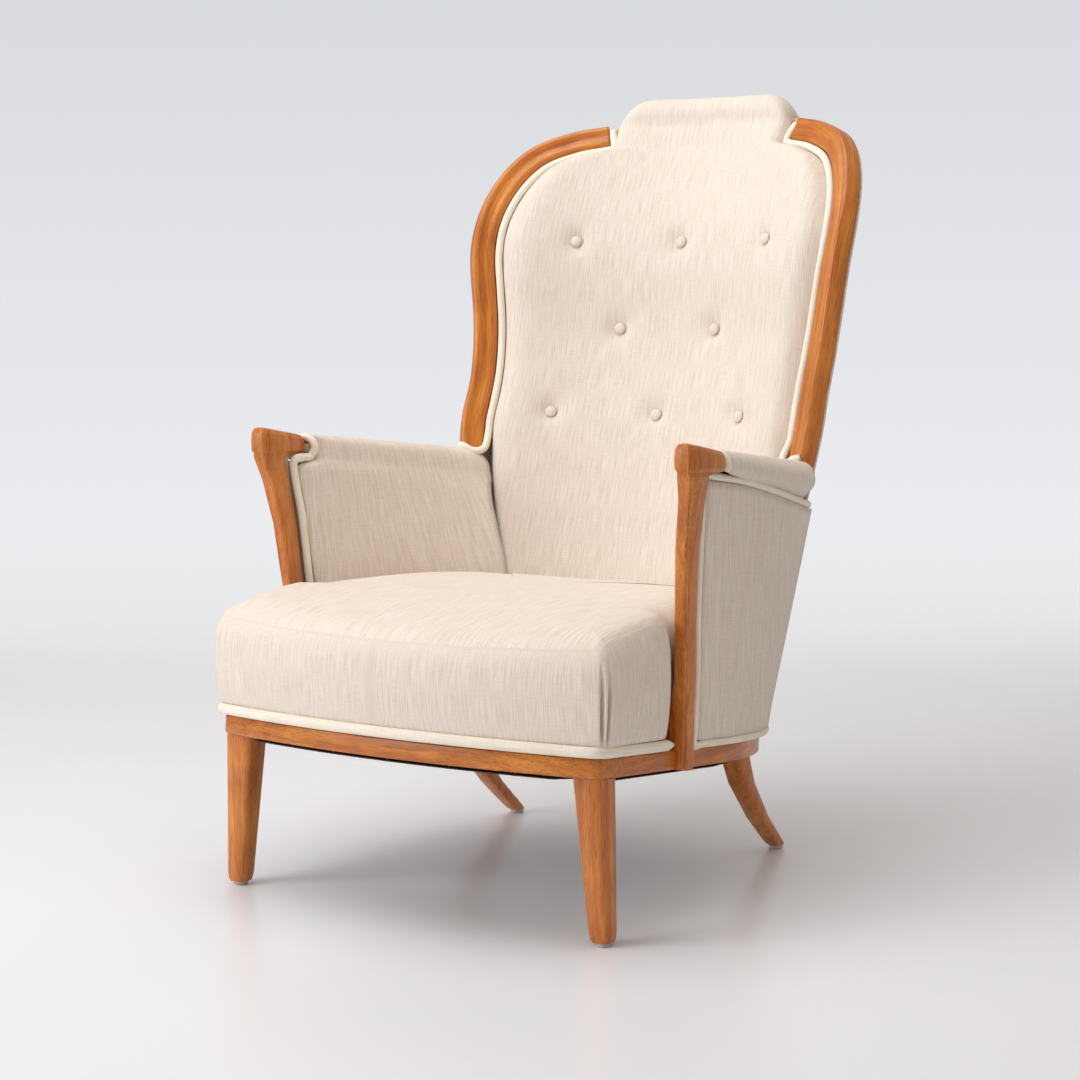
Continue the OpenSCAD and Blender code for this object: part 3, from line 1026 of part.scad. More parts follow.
// Outside back: one stiff panel over the backs of the stiles, with a fine welt round it.
outside_depth = stile_d + 2 * over;
outside_in = 8;
outside_low_z = 188;
outside_ks = [0.4, 1, 1.6, 2.2, 2.8, 3.4, 4, 4.6, 5.2, 5.8, 6.3, 6.8];
// The last rows follow the bow at the sides and stay below the crest rail in the middle.
outside_top_ks = [7.3, 8, 8.7];
outside_top_zs = [968, 976, 984];
outside_columns = [-1, -0.87, -0.6, -0.3, 0, 0.3, 0.6, 0.87, 1];
function outside_edge(k) = beside_stile(k, stile_w / 2 - outside_in, 0);
function outside_low(x) = let (y = lean(outside_low_z) - sag(x) + outside_depth)
    rail_at(y, lip_h) + gap - (outside_depth + panel_t) * barrel_normal(x, outside_low_z).z;
function outside_row(x, z, depth) = [for (c = outside_columns) on_barrel(c * x, z, depth)];
function outside_grid(depth) = concat(
    [for (lift = [0, 20]) [for (c = outside_columns)
        let (x = c * outside_edge(0).x) on_barrel(x, outside_low(x) + lift, depth)]],
    [for (k = outside_ks) outside_row(outside_edge(k).x, outside_edge(k).z, depth)],
    [for (i = [0:len(outside_top_ks) - 1]) let (e = outside_edge(outside_top_ks[i]))
        [for (c = outside_columns) on_barrel(c * e.x, lerp(outside_top_zs[i], e.z, pow(abs(c), 8)), depth)]]);
function turned(rows) = [for (r = rows) [for (i = [len(r) - 1:-1:0]) r[i]]];
module outside_back_panel() color(linen)
    skin(turned(outside_grid(outside_depth + panel_t)), turned(outside_grid(outside_depth)));

front_seat_rail();
left_seat_rail();
right_seat_rail();
rear_seat_rail();
corner_blocks();
corner_block_screws();
rail_dowels();
left_front_leg();
right_front_leg();
left_rear_leg();
right_rear_leg();
leg_bolts();
glides();
left_arm_post();
right_arm_post();
post_screws();
left_arm_rail();
right_arm_rail();
left_back_stile();
right_back_stile();
lower_back_rail();
crest_rail();
back_dowels();
seat_webbing();
seat_springs();
seat_hessian();
seat_pad();
seat_cover();
seat_welt();
back_webbing();
back_hessian();
back_pad();
inside_back_cover();
back_buttons();
back_welts();
left_arm_hessian();
right_arm_hessian();
left_arm_pad();
right_arm_pad();
left_inside_arm_cover();
right_inside_arm_cover();
left_outside_arm_panel();
right_outside_arm_panel();
left_arm_welt();
right_arm_welt();
left_panel_welt();
right_panel_welt();
outside_back_panel();
dust_cover();
cover_tacks();
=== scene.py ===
import bmesh
import bpy
import numpy as np
from mathutils import Matrix, Vector, noise


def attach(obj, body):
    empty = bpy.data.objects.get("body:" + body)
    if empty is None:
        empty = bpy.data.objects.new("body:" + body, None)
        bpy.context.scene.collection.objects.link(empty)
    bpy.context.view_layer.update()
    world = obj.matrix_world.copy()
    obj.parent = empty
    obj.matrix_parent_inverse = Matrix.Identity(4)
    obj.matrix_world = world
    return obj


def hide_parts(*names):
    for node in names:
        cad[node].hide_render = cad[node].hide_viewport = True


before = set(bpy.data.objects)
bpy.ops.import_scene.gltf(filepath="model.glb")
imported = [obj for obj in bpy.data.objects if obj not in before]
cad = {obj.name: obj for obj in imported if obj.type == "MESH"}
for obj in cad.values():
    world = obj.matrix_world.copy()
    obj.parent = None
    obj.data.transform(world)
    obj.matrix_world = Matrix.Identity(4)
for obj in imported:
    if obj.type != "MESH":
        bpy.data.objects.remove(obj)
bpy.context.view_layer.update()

# Camera. It stands in front of the chair and to the sitter's left, a little under the arms'
# height above the seat, with a long lens as in the photograph.
eye = Vector((1.713, -2.711, 0.761))
turn, tip = np.radians(32.92), np.radians(-5.78)
ahead = Vector((-np.sin(turn) * np.cos(tip), np.cos(turn) * np.cos(tip), np.sin(tip)))
camera = bpy.data.objects.new("camera", bpy.data.cameras.new("camera"))
camera.data.sensor_width = 36
camera.data.lens = 36 * 2386.3 / 1080
camera.data.clip_end = 60
camera.matrix_world = Matrix.Translation(eye) @ ahead.to_track_quat("-Z", "Y").to_matrix().to_4x4()
bpy.context.scene.collection.objects.link(camera)
bpy.context.scene.camera = camera


# Seat frame. Its three side pieces and front rail are steamed and bandsawn beech, stained orange
# brown and lacquered to a satin. They are dowelled end to end, with a lip left standing outside
# that the covers are tacked down behind.
def colour(code):
    """An sRGB hex value as Blender's linear colour."""
    parts = [int(code[i:i + 2], 16) / 255 for i in (1, 3, 5)]
    return [c / 12.92 if c <= 0.04045 else ((c + 0.055) / 1.055) ** 2.4 for c in parts] + [1.0]


def add(tree, kind, inputs=None, **settings):
    """A node with its settings. An input is a value, or the socket that feeds it."""
    made = tree.nodes.new(kind)
    for name, value in settings.items():
        setattr(made, name, value)
    for name, value in (inputs or {}).items():
        if isinstance(value, bpy.types.NodeSocket):
            tree.links.new(value, made.inputs[name])
        else:
            made.inputs[name].default_value = value
    return made


def ramp(tree, fac, *stops):
    """A colour ramp through (place, hex) stops."""
    made = add(tree, "ShaderNodeValToRGB", {"Fac": fac})
    band = made.color_ramp
    while len(band.elements) < len(stops):
        band.elements.new(0.5)
    for element, (place, code) in zip(band.elements, stops):
        element.position = place
        element.color = colour(code)
    return made.outputs["Color"]


def material(name, roughness, **sockets):
    made = bpy.data.materials.new(name)
    made.use_nodes = True
    shader = made.node_tree.nodes["Principled BSDF"]
    shader.inputs["Roughness"].default_value = roughness
    for socket, value in sockets.items():
        shader.inputs[socket.replace("_", " ")].default_value = value
    return made, made.node_tree, shader


# Stained beech under satin lacquer: fine straight grain with short dark pores, a slow drift of
# colour along the board, and a soft clear gloss.
pore_mm, figure_mm, board_mm = 1.3, 9, 60


def stained_beech(name, along=None):
    """along is the axis of the row frame that the grain runs on, or None for a piece with its own grain lines."""
    made, tree, shader = material(name, 0.36, IOR=1.5, Coat_Weight=0.18, Coat_Roughness=0.2)
    if along is None:
        place = add(tree, "ShaderNodeAttribute", attribute_name="grain").outputs["Vector"]
        stretch = (0.05, 1, 1)
    else:
        place = add(tree, "ShaderNodeTexCoord").outputs["Object"]
        stretch = [0.05 if axis == along else 1 for axis in "XYZ"]
    lengthwise = add(tree, "ShaderNodeMapping", {"Vector": place, "Scale": stretch}).outputs["Vector"]
    pores = add(tree, "ShaderNodeTexNoise", {"Vector": lengthwise, "Scale": 1000 / pore_mm, "Detail": 3.0,
                                             "Roughness": 0.6}).outputs["Fac"]
    figure = add(tree, "ShaderNodeTexNoise", {"Vector": lengthwise, "Scale": 1000 / figure_mm, "Detail": 4.0,
                                              "Roughness": 0.55, "Distortion": 0.6}).outputs["Fac"]
    drift = add(tree, "ShaderNodeTexNoise", {"Vector": place, "Scale": 1000 / board_mm, "Detail": 1.0}).outputs["Fac"]
    wood = ramp(tree, figure, (0.3, "#b8631d"), (0.48, "#cd7b2a"), (0.62, "#da8a34"), (0.78, "#e69b45"))
    tone = ramp(tree, drift, (0.35, "#e6d6c8"), (0.65, "#ffffff"))
    dark = ramp(tree, pores, (0.36, "#94704f"), (0.5, "#ffffff"))
    mixed = add(tree, "ShaderNodeMix", {0: 0.8, 6: wood, 7: tone}, data_type="RGBA", blend_type="MULTIPLY")
    grained = add(tree, "ShaderNodeMix", {0: 0.45, 6: mixed.outputs[2], 7: dark}, data_type="RGBA",
                  blend_type="MULTIPLY")
    tree.links.new(grained.outputs[2], shader.inputs["Base Color"])
    bump = add(tree, "ShaderNodeBump", {"Height": pores, "Strength": 0.12, "Distance": 0.0006})
    tree.links.new(bump.outputs["Normal"], shader.inputs["Normal"])
    return made


def rounding(limit_deg):
    """A modifier tree that shades a sawn piece smooth but for its real edges."""
    tree = bpy.data.node_groups.new("rounding", "GeometryNodeTree")
    tree.interface.new_socket("Geometry", in_out="INPUT", socket_type="NodeSocketGeometry")
    tree.interface.new_socket("Geometry", in_out="OUTPUT", socket_type="NodeSocketGeometry")
    start = add(tree, "NodeGroupInput")
    joined = add(tree, "GeometryNodeMergeByDistance", {"Geometry": start.outputs[0], "Distance": 0.00002})
    bare = add(tree, "GeometryNodeRemoveAttribute", {"Geometry": joined.outputs[0], "Name": "custom_normal"})
    faces = add(tree, "GeometryNodeSetShadeSmooth", {"Geometry": bare.outputs[0]}, domain="FACE")
    angle = add(tree, "GeometryNodeInputMeshEdgeAngle").outputs["Unsigned Angle"]
    sharp = add(tree, "FunctionNodeCompare", {0: angle, 1: np.radians(limit_deg)}, operation="GREATER_THAN")
    edges = add(tree, "GeometryNodeSetShadeSmooth",
                {"Geometry": faces.outputs[0], "Selection": sharp.outputs[0], "Shade Smooth": False}, domain="EDGE")
    end = add(tree, "NodeGroupOutput")
    tree.links.new(edges.outputs[0], end.inputs[0])
    return tree


worked = rounding(32)


def finish_node(name, made):
    """A CAD node whose shape is right takes its finish."""
    piece = cad[name]
    piece.data.materials.clear()
    piece.data.materials.append(made)
    if "rounding" not in piece.modifiers:
        piece.modifiers.new("rounding", "NODES").node_group = worked


beech_across = stained_beech("stained beech, grain across", "X")
beech_back = stained_beech("stained beech, grain front to back", "Y")
beech_up = stained_beech("stained beech, grain upright", "Z")
finish_node("front_seat_rail", beech_across)
finish_node("rear_seat_rail", beech_across)
finish_node("left_seat_rail", beech_back)
finish_node("right_seat_rail", beech_back)

# Legs. Square tapered front legs and raked rear legs, of the same stained beech, each held up
# into its corner block by a hanger bolt.
for leg in ("left_front_leg", "right_front_leg", "left_rear_leg", "right_rear_leg"):
    finish_node(leg, beech_up)

# Glides. A domed nail-on nylon glide under each leg, moulded in pale grey, with a dull sheen and
# scuffs where it stands.
nylon, tree, shader = material("moulded nylon", 0.45, IOR=1.53)
scuff = add(tree, "ShaderNodeTexNoise", {"Vector": add(tree, "ShaderNodeTexCoord").outputs["Object"],
                                         "Scale": 400.0, "Detail": 2.0}).outputs["Fac"]
tree.links.new(ramp(tree, scuff, (0.3, "#a9a49b"), (0.7, "#cbc7be")), shader.inputs["Base Color"])
finish_node("glides", nylon)

# Inner frame. Unstained sawn beech: corner blocks, dowels, the two cross rails of the back and
# the rails inside the arm rolls, glued and screwed before any cloth goes on.
plain_beech, tree, shader = material("sawn beech", 0.7, IOR=1.5)
place = add(tree, "ShaderNodeMapping", {"Vector": add(tree, "ShaderNodeTexCoord").outputs["Object"],
                                        "Scale": (0.08, 1, 1)}).outputs["Vector"]
saw = add(tree, "ShaderNodeTexNoise", {"Vector": place, "Scale": 700.0, "Detail": 3.0}).outputs["Fac"]
tree.links.new(ramp(tree, saw, (0.35, "#c9a777"), (0.6, "#dcc096")), shader.inputs["Base Color"])
bump = add(tree, "ShaderNodeBump", {"Height": saw, "Strength": 0.3, "Distance": 0.0005})
tree.links.new(bump.outputs["Normal"], shader.inputs["Normal"])
for name in ("corner_blocks", "rail_dowels", "back_dowels", "lower_back_rail", "crest_rail",
             "left_arm_rail", "right_arm_rail"):
    finish_node(name, plain_beech)

# Screws, tacks and springs. Bright drawn steel, with a faint wear that dulls it in patches; the
# springs are tied coils of 3.8 mm wire.
drawn_steel, tree, shader = material("drawn steel", 0.32, Metallic=1.0)
wear = add(tree, "ShaderNodeTexNoise", {"Vector": add(tree, "ShaderNodeTexCoord").outputs["Object"],
                                        "Scale": 900.0, "Detail": 2.0}).outputs["Fac"]
tree.links.new(ramp(tree, wear, (0.3, "#8b8d90"), (0.7, "#b4b6b8")), shader.inputs["Base Color"])
for name in ("corner_block_screws", "post_screws", "seat_springs", "cover_tacks"):
    finish_node(name, drawn_steel)

# Leg bolts. Hanger bolts of the same drawn steel, which run down from the corner blocks into the
# legs. The rear ones are short, so that they end inside the rake of the rear legs.
bolt_tip_mm, rear_bolt_cut_mm = 4, 28
bolts = bpy.data.objects.new("leg_hanger_bolts", cad["leg_bolts"].data.copy())
bolts.matrix_world = cad["leg_bolts"].matrix_world.copy()
bpy.context.scene.collection.objects.link(bolts)
for left in (True, False):
    rear_bolt = [v for v in bolts.data.vertices if v.co.y > 0 and (v.co.x > 0) == left]
    lowest = min(v.co.z for v in rear_bolt)
    for v in rear_bolt:
        if v.co.z < lowest + bolt_tip_mm / 1000:
            v.co.z += rear_bolt_cut_mm / 1000
bolts.data.materials.clear()
bolts.data.materials.append(drawn_steel)
bolts.modifiers.new("rounding", "NODES").node_group = worked
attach(bolts, "root")
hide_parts("leg_bolts")

# Webbing and hessian. Plain woven jute, tacked to the rails; the threads are drawn 2 mm apart so
# that they show.
jute_thread_mm = 2
jute, tree, shader = material("woven jute", 0.9, IOR=1.45)
place = add(tree, "ShaderNodeTexCoord").outputs["Object"]
turns = 2 * np.pi * 1000 / jute_thread_mm
threads = []
for axis in "XYZ":
    part = add(tree, "ShaderNodeSeparateXYZ", {0: place}).outputs[axis]
    wave = add(tree, "ShaderNodeMath", {0: part, 1: turns}, operation="MULTIPLY").outputs[0]
    threads.append(add(tree, "ShaderNodeMath", {0: wave}, operation="SINE").outputs[0])
weave = add(tree, "ShaderNodeMath", {0: threads[0], 1: threads[1]}, operation="MAXIMUM").outputs[0]
weave = add(tree, "ShaderNodeMath", {0: weave, 1: threads[2]}, operation="MAXIMUM").outputs[0]
tree.links.new(ramp(tree, weave, (0.1, "#7d6640"), (0.9, "#c2a673")), shader.inputs["Base Color"])
bump = add(tree, "ShaderNodeBump", {"Height": weave, "Strength": 0.5, "Distance": 0.0005})
tree.links.new(bump.outputs["Normal"], shader.inputs["Normal"])
for name in ("seat_webbing", "back_webbing", "seat_hessian", "back_hessian", "left_arm_hessian", "right_arm_hessian"):
    finish_node(name, jute)

# Bow. Each half of the back's frame is one stile, sawn to a slow S and bent over at its top, with a
# soft ridge and hollow worked along its face. It is stained beech, dowelled to the rear rail below
# and to the crest rail at its end.
front_y, frame_depth, rail_z, rail_rake, rail_h = -379, 548, 203, 5.5, 62
frame_half_w, lip_t, lip_h = 286, 12, 25
total_h, back_foot_z, barrel_r, back_half_w, back_lean = 1052, 200, 460, 284, 283
stile_w, stile_d = 36, 34
lean_rises = np.array([0, 0.211, 0.423, 0.587, 0.739, 0.857, 1])
lean_shares = np.array([0, 0.2, 0.395, 0.56, 0.645, 0.79, 1])
out_shares = np.array([0.70, 0.82, 0.925, 0.93, 0.955, 0.995, 0.965, 0.865, 0.71, 0.54])
rise_shares = np.array([0.02, 0.211, 0.4225, 0.528, 0.634, 0.763, 0.845, 0.904, 0.931, 0.9425])


def lerp(a, b, t):
    return a + (b - a) * t


def curve(xs, ys, x):
    """A smooth curve through given values, which are numbers or points."""
    xs, ys = np.asarray(xs, float), np.asarray(ys, float)
    i = int(np.clip(np.searchsorted(xs, x, side="right") - 1, 0, len(xs) - 2))
    w = xs[i + 1] - xs[i]
    t = (x - xs[i]) / w

    def slope(j):
        a, b = max(0, j - 1), min(len(xs) - 1, j + 1)
        return (ys[b] - ys[a]) / (xs[b] - xs[a])

    return (ys[i] * (2 * t ** 3 - 3 * t ** 2 + 1) + slope(i) * w * (t ** 3 - 2 * t ** 2 + t)
            + ys[i + 1] * (3 * t ** 2 - 2 * t ** 3) + slope(i + 1) * w * (t ** 3 - t ** 2))


def along(points, k):
    return curve(range(len(points)), points, k)


def unit(v):
    return v / np.linalg.norm(v)


def rail_at(y, up=0):
    """The height of the raked seat frame at y, in mm."""
    return rail_z - (y - front_y) * np.tan(np.radians(rail_rake)) + up / np.cos(np.radians(rail_rake))


back_foot_y = front_y + frame_depth - lip_t - stile_d + 6
back_rise = total_h - back_foot_z


def lean(z):
    return back_foot_y + back_lean * curve(lean_rises, lean_shares, (z - back_foot_z) / back_rise)


def sag(x):
    return barrel_r - np.sqrt(barrel_r ** 2 - x ** 2)


def barrel_normal(x, z):
    return unit(np.array([x / np.sqrt(barrel_r ** 2 - x ** 2), 1, lean(z - 0.5) - lean(z + 0.5)]))


def on_barrel(x, z, depth=0.0):
    """A place on the leaning barrel that the back follows, or behind it."""
    return np.array([x, lean(z) - sag(x), z]) + barrel_normal(x, z) * depth


stile_plan = np.stack([back_half_w * out_shares, back_foot_z + back_rise * rise_shares], 1)
stile_end = len(stile_plan) - 1


def stile_frame(k):
    """Middle, outward, rearward and lengthwise directions of the stile at k."""
    def at(j):
        return on_barrel(*along(stile_plan, j))
    x, z = along(stile_plan, k)
    ahead = unit(at(min(stile_end, k + 0.05)) - at(max(0, k - 0.05)))
    n = barrel_normal(x, z)
    n = unit(n - ahead * (ahead @ n))
    return at(k), np.cross(n, ahead), n, ahead


def beside_stile(k, across, depth):
    mid, out, back, _ = stile_frame(k)
    return mid + out * across + back * depth


def new_piece(name, points, faces, finish, stored=None, store="cloth"):
    """A mesh in mm that rides on the chair. stored holds a place on the cloth or grain for each point, in metres."""
    mesh = bpy.data.meshes.new(name)
    mesh.from_pydata((np.asarray(points) / 1000).tolist(), [], [list(map(int, f)) for f in faces])
    mesh.validate()
    work = bmesh.new()
    work.from_mesh(mesh)
    bmesh.ops.recalc_face_normals(work, faces=work.faces)
    work.to_mesh(mesh)
    work.free()
    mesh.polygons.foreach_set("use_smooth", [True] * len(mesh.polygons))
    if stored is not None:
        mesh.attributes.new(store, "FLOAT_VECTOR", "POINT").data.foreach_set(
            "vector", np.asarray(stored, np.float32).ravel())
    mesh.materials.append(finish)
    piece = bpy.data.objects.new(name, mesh)
    bpy.context.scene.collection.objects.link(piece)
    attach(piece, "root")
    return piece


def tube_faces(rings, n):
    """Quads round a stack of rings of n points, with a closing face at both ends."""
    faces = [(j * n + i, j * n + (i + 1) % n, (j + 1) * n + (i + 1) % n, (j + 1) * n + i)
             for j in range(rings - 1) for i in range(n)]
    return faces + [tuple(range(n))[::-1], tuple((rings - 1) * n + i for i in range(n))]


def closed_curve(points, steps):
    """A smooth closed line through points, with steps places to each."""
    n = len(points)
    wrapped = [points[i % n] for i in range(-2, n + 3)]
    return np.array([along(wrapped, 2 + i / steps) for i in range(n * steps)])


section_across = np.array([1, 0.97, 0.86, 0.6, 0.28, -0.1, -0.5, -0.8, -0.97,
                           -1, -1, -0.98, -0.7, 0, 0.7, 0.97, 1])
section_deep = np.array([0.42, 0.2, 0.05, 0.0, 0.03, 0.055, 0.02, 0.05, 0.16,
                         0.3, 0.6, 0.9, 0.97, 0.87, 0.76, 0.7, 0.6])
stile_section = closed_curve(np.stack([section_across * stile_w / 2, section_deep * stile_d], 1), 3)
grained_beech = stained_beech("stained beech, grain along the bow")
board_apart = 90
for side, name in ((1, "left"), (-1, "right")):
    rings, grain, run, last = [], [], 0, None
    for k in np.linspace(0, stile_end, stile_end * 12 + 1):
        mid, out, back, ahead = stile_frame(k)
        run += 0 if last is None else np.linalg.norm(mid - last)
        last = mid
        ring = mid + stile_section[:, :1] * out + stile_section[:, 1:] * back
        if k == 0:
            ring[:, 2] = rail_at(ring[:, 1], rail_h)
        rings.append(ring * [side, 1, 1])
        grain.append(np.stack([np.full(len(ring), run), stile_section[:, 0] + board_apart * side,
                               stile_section[:, 1]], 1) / 1000)
    n = len(stile_section)
    bow = new_piece(name + "_bow", np.concatenate(rings), tube_faces(len(rings), n), grained_beech,
                    np.concatenate(grain), "grain")
    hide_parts(name + "_back_stile")

# Arm posts. Each is carved from one piece of the same beech: a curved upright that is housed in the
# rail's lip and screwed from inside, and a long knuckle that carries the front of the arm roll.
carved = rounding(17)
for name in ("left_arm_post", "right_arm_post"):
    cad[name].modifiers.new("rounding", "NODES").node_group = carved
    finish_node(name, beech_up)

# Inside arms. Horsehair pads on hessian under linen, which runs from the seat up the inside of the
# arm, over the rail as a roll and back under it, where it is tacked.
post_foot_front, post_foot_z, arm_h = front_y + 178, rail_at(front_y + 178), 592
post_rise = arm_h - post_foot_z
post_stand, post_flare, post_t, post_d, post_reach = 14, 41, 20, 23, 58
post_rises = np.array([0, 0.108, 0.158, 0.281, 0.527, 0.675, 0.823, 0.897])
post_outs = np.array([0, 0.07, 0.1, 0.2, 0.37, 0.49, 0.76, 0.93])
post_reaches = np.array([0, 0.05, 0.08, 0.19, 0.45, 0.57, 0.74, 0.91])
post_thicks = np.array([1, 1, 1, 1, 1, 1.05, 1.15, 1.35])
post_deeps = np.array([1, 1.04, 1.06, 1.17, 1.3, 1.43, 1.65, 2])
knuckle_w, knuckle_l, roll_r, roll_drop = 32, 92, 29, 16
knuckle_out = frame_half_w + post_stand + post_flare - 1
knuckle_rear = post_foot_front - post_reach + knuckle_l
welt_d, gap, core_depth, pad_rise, pad_scoop = 11, 0.3, 8, 12, 24
column_shares = np.array([0, 0.16, 0.32, 0.47, 0.62, 0.76, 0.87, 0.945, 0.985, 1])
column_rises = np.array([1, 1, 1, 1, 1, 1, 0.95, 0.75, 0.4, 0])


def post_rear(z):
    return curve(post_foot_z + post_rise * post_rises,
                 post_foot_front - post_reach * post_reaches + post_d * post_deeps, z)


def post_inner(z):
    return curve(post_foot_z + post_rise * post_rises,
                 frame_half_w + post_stand + post_flare * post_outs - post_t * post_thicks, z)


def tuck(k):
    """Where the inside back's cover is tucked in beside the bow."""
    return beside_stile(k, -(stile_w / 2 + welt_d + gap), 0)


def rise(share):
    """How far the padding has risen to its full height at a share of the half width."""
    return float(curve(column_shares, column_rises, min(1, abs(share))))


def cover_out(x):
    return core_depth + pad_rise + pad_scoop * (x / back_half_w) ** 2


tuck_line = np.array([tuck(k) for k in np.arange(0.4, 3.11, 0.3)])


def back_face_y(x, z):
    """The y of the inside back's face, where the arm's cover meets it."""
    share = abs(x) / curve(tuck_line[:, 2], tuck_line[:, 0], z)
    depth = min(-1, core_depth - cover_out(x) * (rise(share) if share < 1 else 0))
    n = barrel_normal(x, z)
    return on_barrel(x - n[0] * depth, z - n[2] * depth, depth)[1]


arm_low_z, arm_low_front, arm_low_rear = 325, 268, 186
arm_rises = np.array([0, 0.255, 0.553, 0.809, 0.94])
arm_outs = np.array([0, 0.12, 0.45, 0.77, 0.93])
roll_turns = [157, 128, 95, 60, 25, -10, -40]
arm_end_gap, arm_rear_x, arm_turn_in = 1.6, 262, 26


def roll(s):
    """Centre and radii of the arm roll at a share from the knuckle to the back."""
    rx, rz = lerp(roll_r * 0.69, roll_r * 0.98, s), lerp(roll_r * 0.62, roll_r * 0.9, s)
    return (lerp(knuckle_out - 2, knuckle_out - 33, s) - rx,
            lerp(arm_h - 14, arm_h - 31 - roll_drop, s) - rz, rx, rz)


def arm_place(v, s, inset=0):
    """A point (x, z) of the arm's section: v rises from 0 at the seat over the roll to 11 under it."""
    cx, cz, rx, rz = roll(s)
    rx, rz = rx - inset, rz - inset
    low = lerp(arm_low_front, arm_low_rear, s) + inset
    places = [(lerp(low, cx - rx, o), lerp(arm_low_z, cz, r)) for o, r in zip(arm_outs, arm_rises)]
    places += [(cx + rx * np.cos(a), cz + rz * np.sin(a))
               for a in np.radians([t if t > -40 else lerp(-40, -70, s) for t in roll_turns])]
    x, z = along(places, v)
    drawn_in = 15 * np.clip((s - 0.7) / 0.3, 0, 1) ** 2 * np.clip((7.5 - v) / 3, 0, 1)
    return x - drawn_in, z


def arm_front(v):
    """The front edge follows the post's back, then steps round under the knuckle."""
    z = arm_place(v, 0)[1]
    step = np.clip((z - 536) / 10, 0, 1) if v < 6 else 1
    return lerp(post_rear(min(z, 545)), knuckle_rear, step * step * (3 - 2 * step)) + welt_d + gap


def arm_rear(v):
    x, z = arm_place(v, 1)
    return back_face_y(min(x, arm_rear_x), z) - max(0, x - arm_rear_x) * 0.3 - arm_end_gap


def arm_grid(inset, rows, columns):
    """Rows of points up the arm's face. Its front edge is rounded back to the post."""
    ends = [(arm_front(v), arm_rear(v)) for v in rows]
    grid = []
    for v, (front, rear) in zip(rows, ends):
        row = []
        for s in columns:
            x, z = arm_place(v, s, inset * (1 if v < 3.5 else lerp(1, 0.5, min(1, v - 3.5))))
            y = lerp(front, rear, s)
            ease = 1 - np.sqrt(1 - np.clip(1 - (y - front) / arm_turn_in, 0, 1) ** 2)
            out = max(0, post_inner(z) - 2 - x) * ease if inset == 0 else 0
            row.append([x + out * np.clip(6 - v, 0, 1), y, z])
        grid.append(row)
    return np.array(grid)


# Linen: an undyed beige plain weave with thick and thin yarns, so that upright slubs a few
# centimetres long show among finer cross threads, with a dry, hardly glossy face.
slub_mm, weft_mm, fibre_mm = 1.5, 1.2, 0.8


def linen_weave(name, low, middle, high):
    made, tree, shader = material(name, 0.88, IOR=1.46, Sheen_Weight=0.12, Sheen_Roughness=0.5)
    shader.inputs["Specular IOR Level"].default_value = 0.25
    place = add(tree, "ShaderNodeAttribute", attribute_name="cloth").outputs["Vector"]
    up = add(tree, "ShaderNodeMapping", {"Vector": place, "Scale": (1, 0.035, 1)}).outputs["Vector"]
    over = add(tree, "ShaderNodeMapping", {"Vector": place, "Scale": (0.06, 1, 1)}).outputs["Vector"]
    slub = add(tree, "ShaderNodeTexNoise", {"Vector": up, "Scale": 1000 / slub_mm, "Detail": 3.0}).outputs["Fac"]
    weft = add(tree, "ShaderNodeTexNoise", {"Vector": over, "Scale": 1000 / weft_mm, "Detail": 2.0}).outputs["Fac"]
    fibre = add(tree, "ShaderNodeTexNoise", {"Vector": place, "Scale": 1000 / fibre_mm, "Detail": 2.0}).outputs["Fac"]
    first = add(tree, "ShaderNodeMix", {0: 0.24, 2: slub, 3: weft}, data_type="FLOAT").outputs[0]
    yarn = add(tree, "ShaderNodeMix", {0: 0.2, 2: first, 3: fibre}, data_type="FLOAT").outputs[0]
    tree.links.new(ramp(tree, yarn, (0.33, low), (0.5, middle), (0.67, high)), shader.inputs["Base Color"])
    bump = add(tree, "ShaderNodeBump", {"Height": yarn, "Strength": 0.5, "Distance": 0.0012})
    tree.links.new(bump.outputs["Normal"], shader.inputs["Normal"])
    return made


linen = linen_weave("slubbed linen", "#d1c4b8", "#e4d9cf", "#f1e9e2")


def run_lengths(grid):
    """The distance down each column of a grid and along each row, in metres."""
    down = np.zeros(grid.shape[:2])
    down[1:] = np.cumsum(np.linalg.norm(np.diff(grid, axis=0), axis=2), 0)
    across = np.zeros(grid.shape[:2])
    across[:, 1:] = np.cumsum(np.linalg.norm(np.diff(grid, axis=1), axis=2), 1)
    return down / 1000, across / 1000


def shell(name, outer, inner, finish, cloth):
    """A closed form between two grids of points with the same rows and columns."""
    rows, columns = outer.shape[:2]
    k = rows * columns
    faces = []
    for j in range(rows - 1):
        for i in range(columns - 1):
            a, b, c, d = j * columns + i, j * columns + i + 1, (j + 1) * columns + i, (j + 1) * columns + i + 1
            faces += [(a, b, d, c), (k + a, k + c, k + d, k + b)]
    rim = ([i for i in range(columns)] + [j * columns + columns - 1 for j in range(1, rows)]
           + [(rows - 1) * columns + i for i in range(columns - 2, -1, -1)]
           + [j * columns for j in range(rows - 2, 0, -1)])
    faces += [(rim[i], k + rim[i], k + rim[(i + 1) % len(rim)], rim[(i + 1) % len(rim)]) for i in range(len(rim))]
    points = np.concatenate([outer.reshape(-1, 3), inner.reshape(-1, 3)])
    return new_piece(name, points, faces, finish, np.concatenate([cloth.reshape(-1, 3)] * 2))


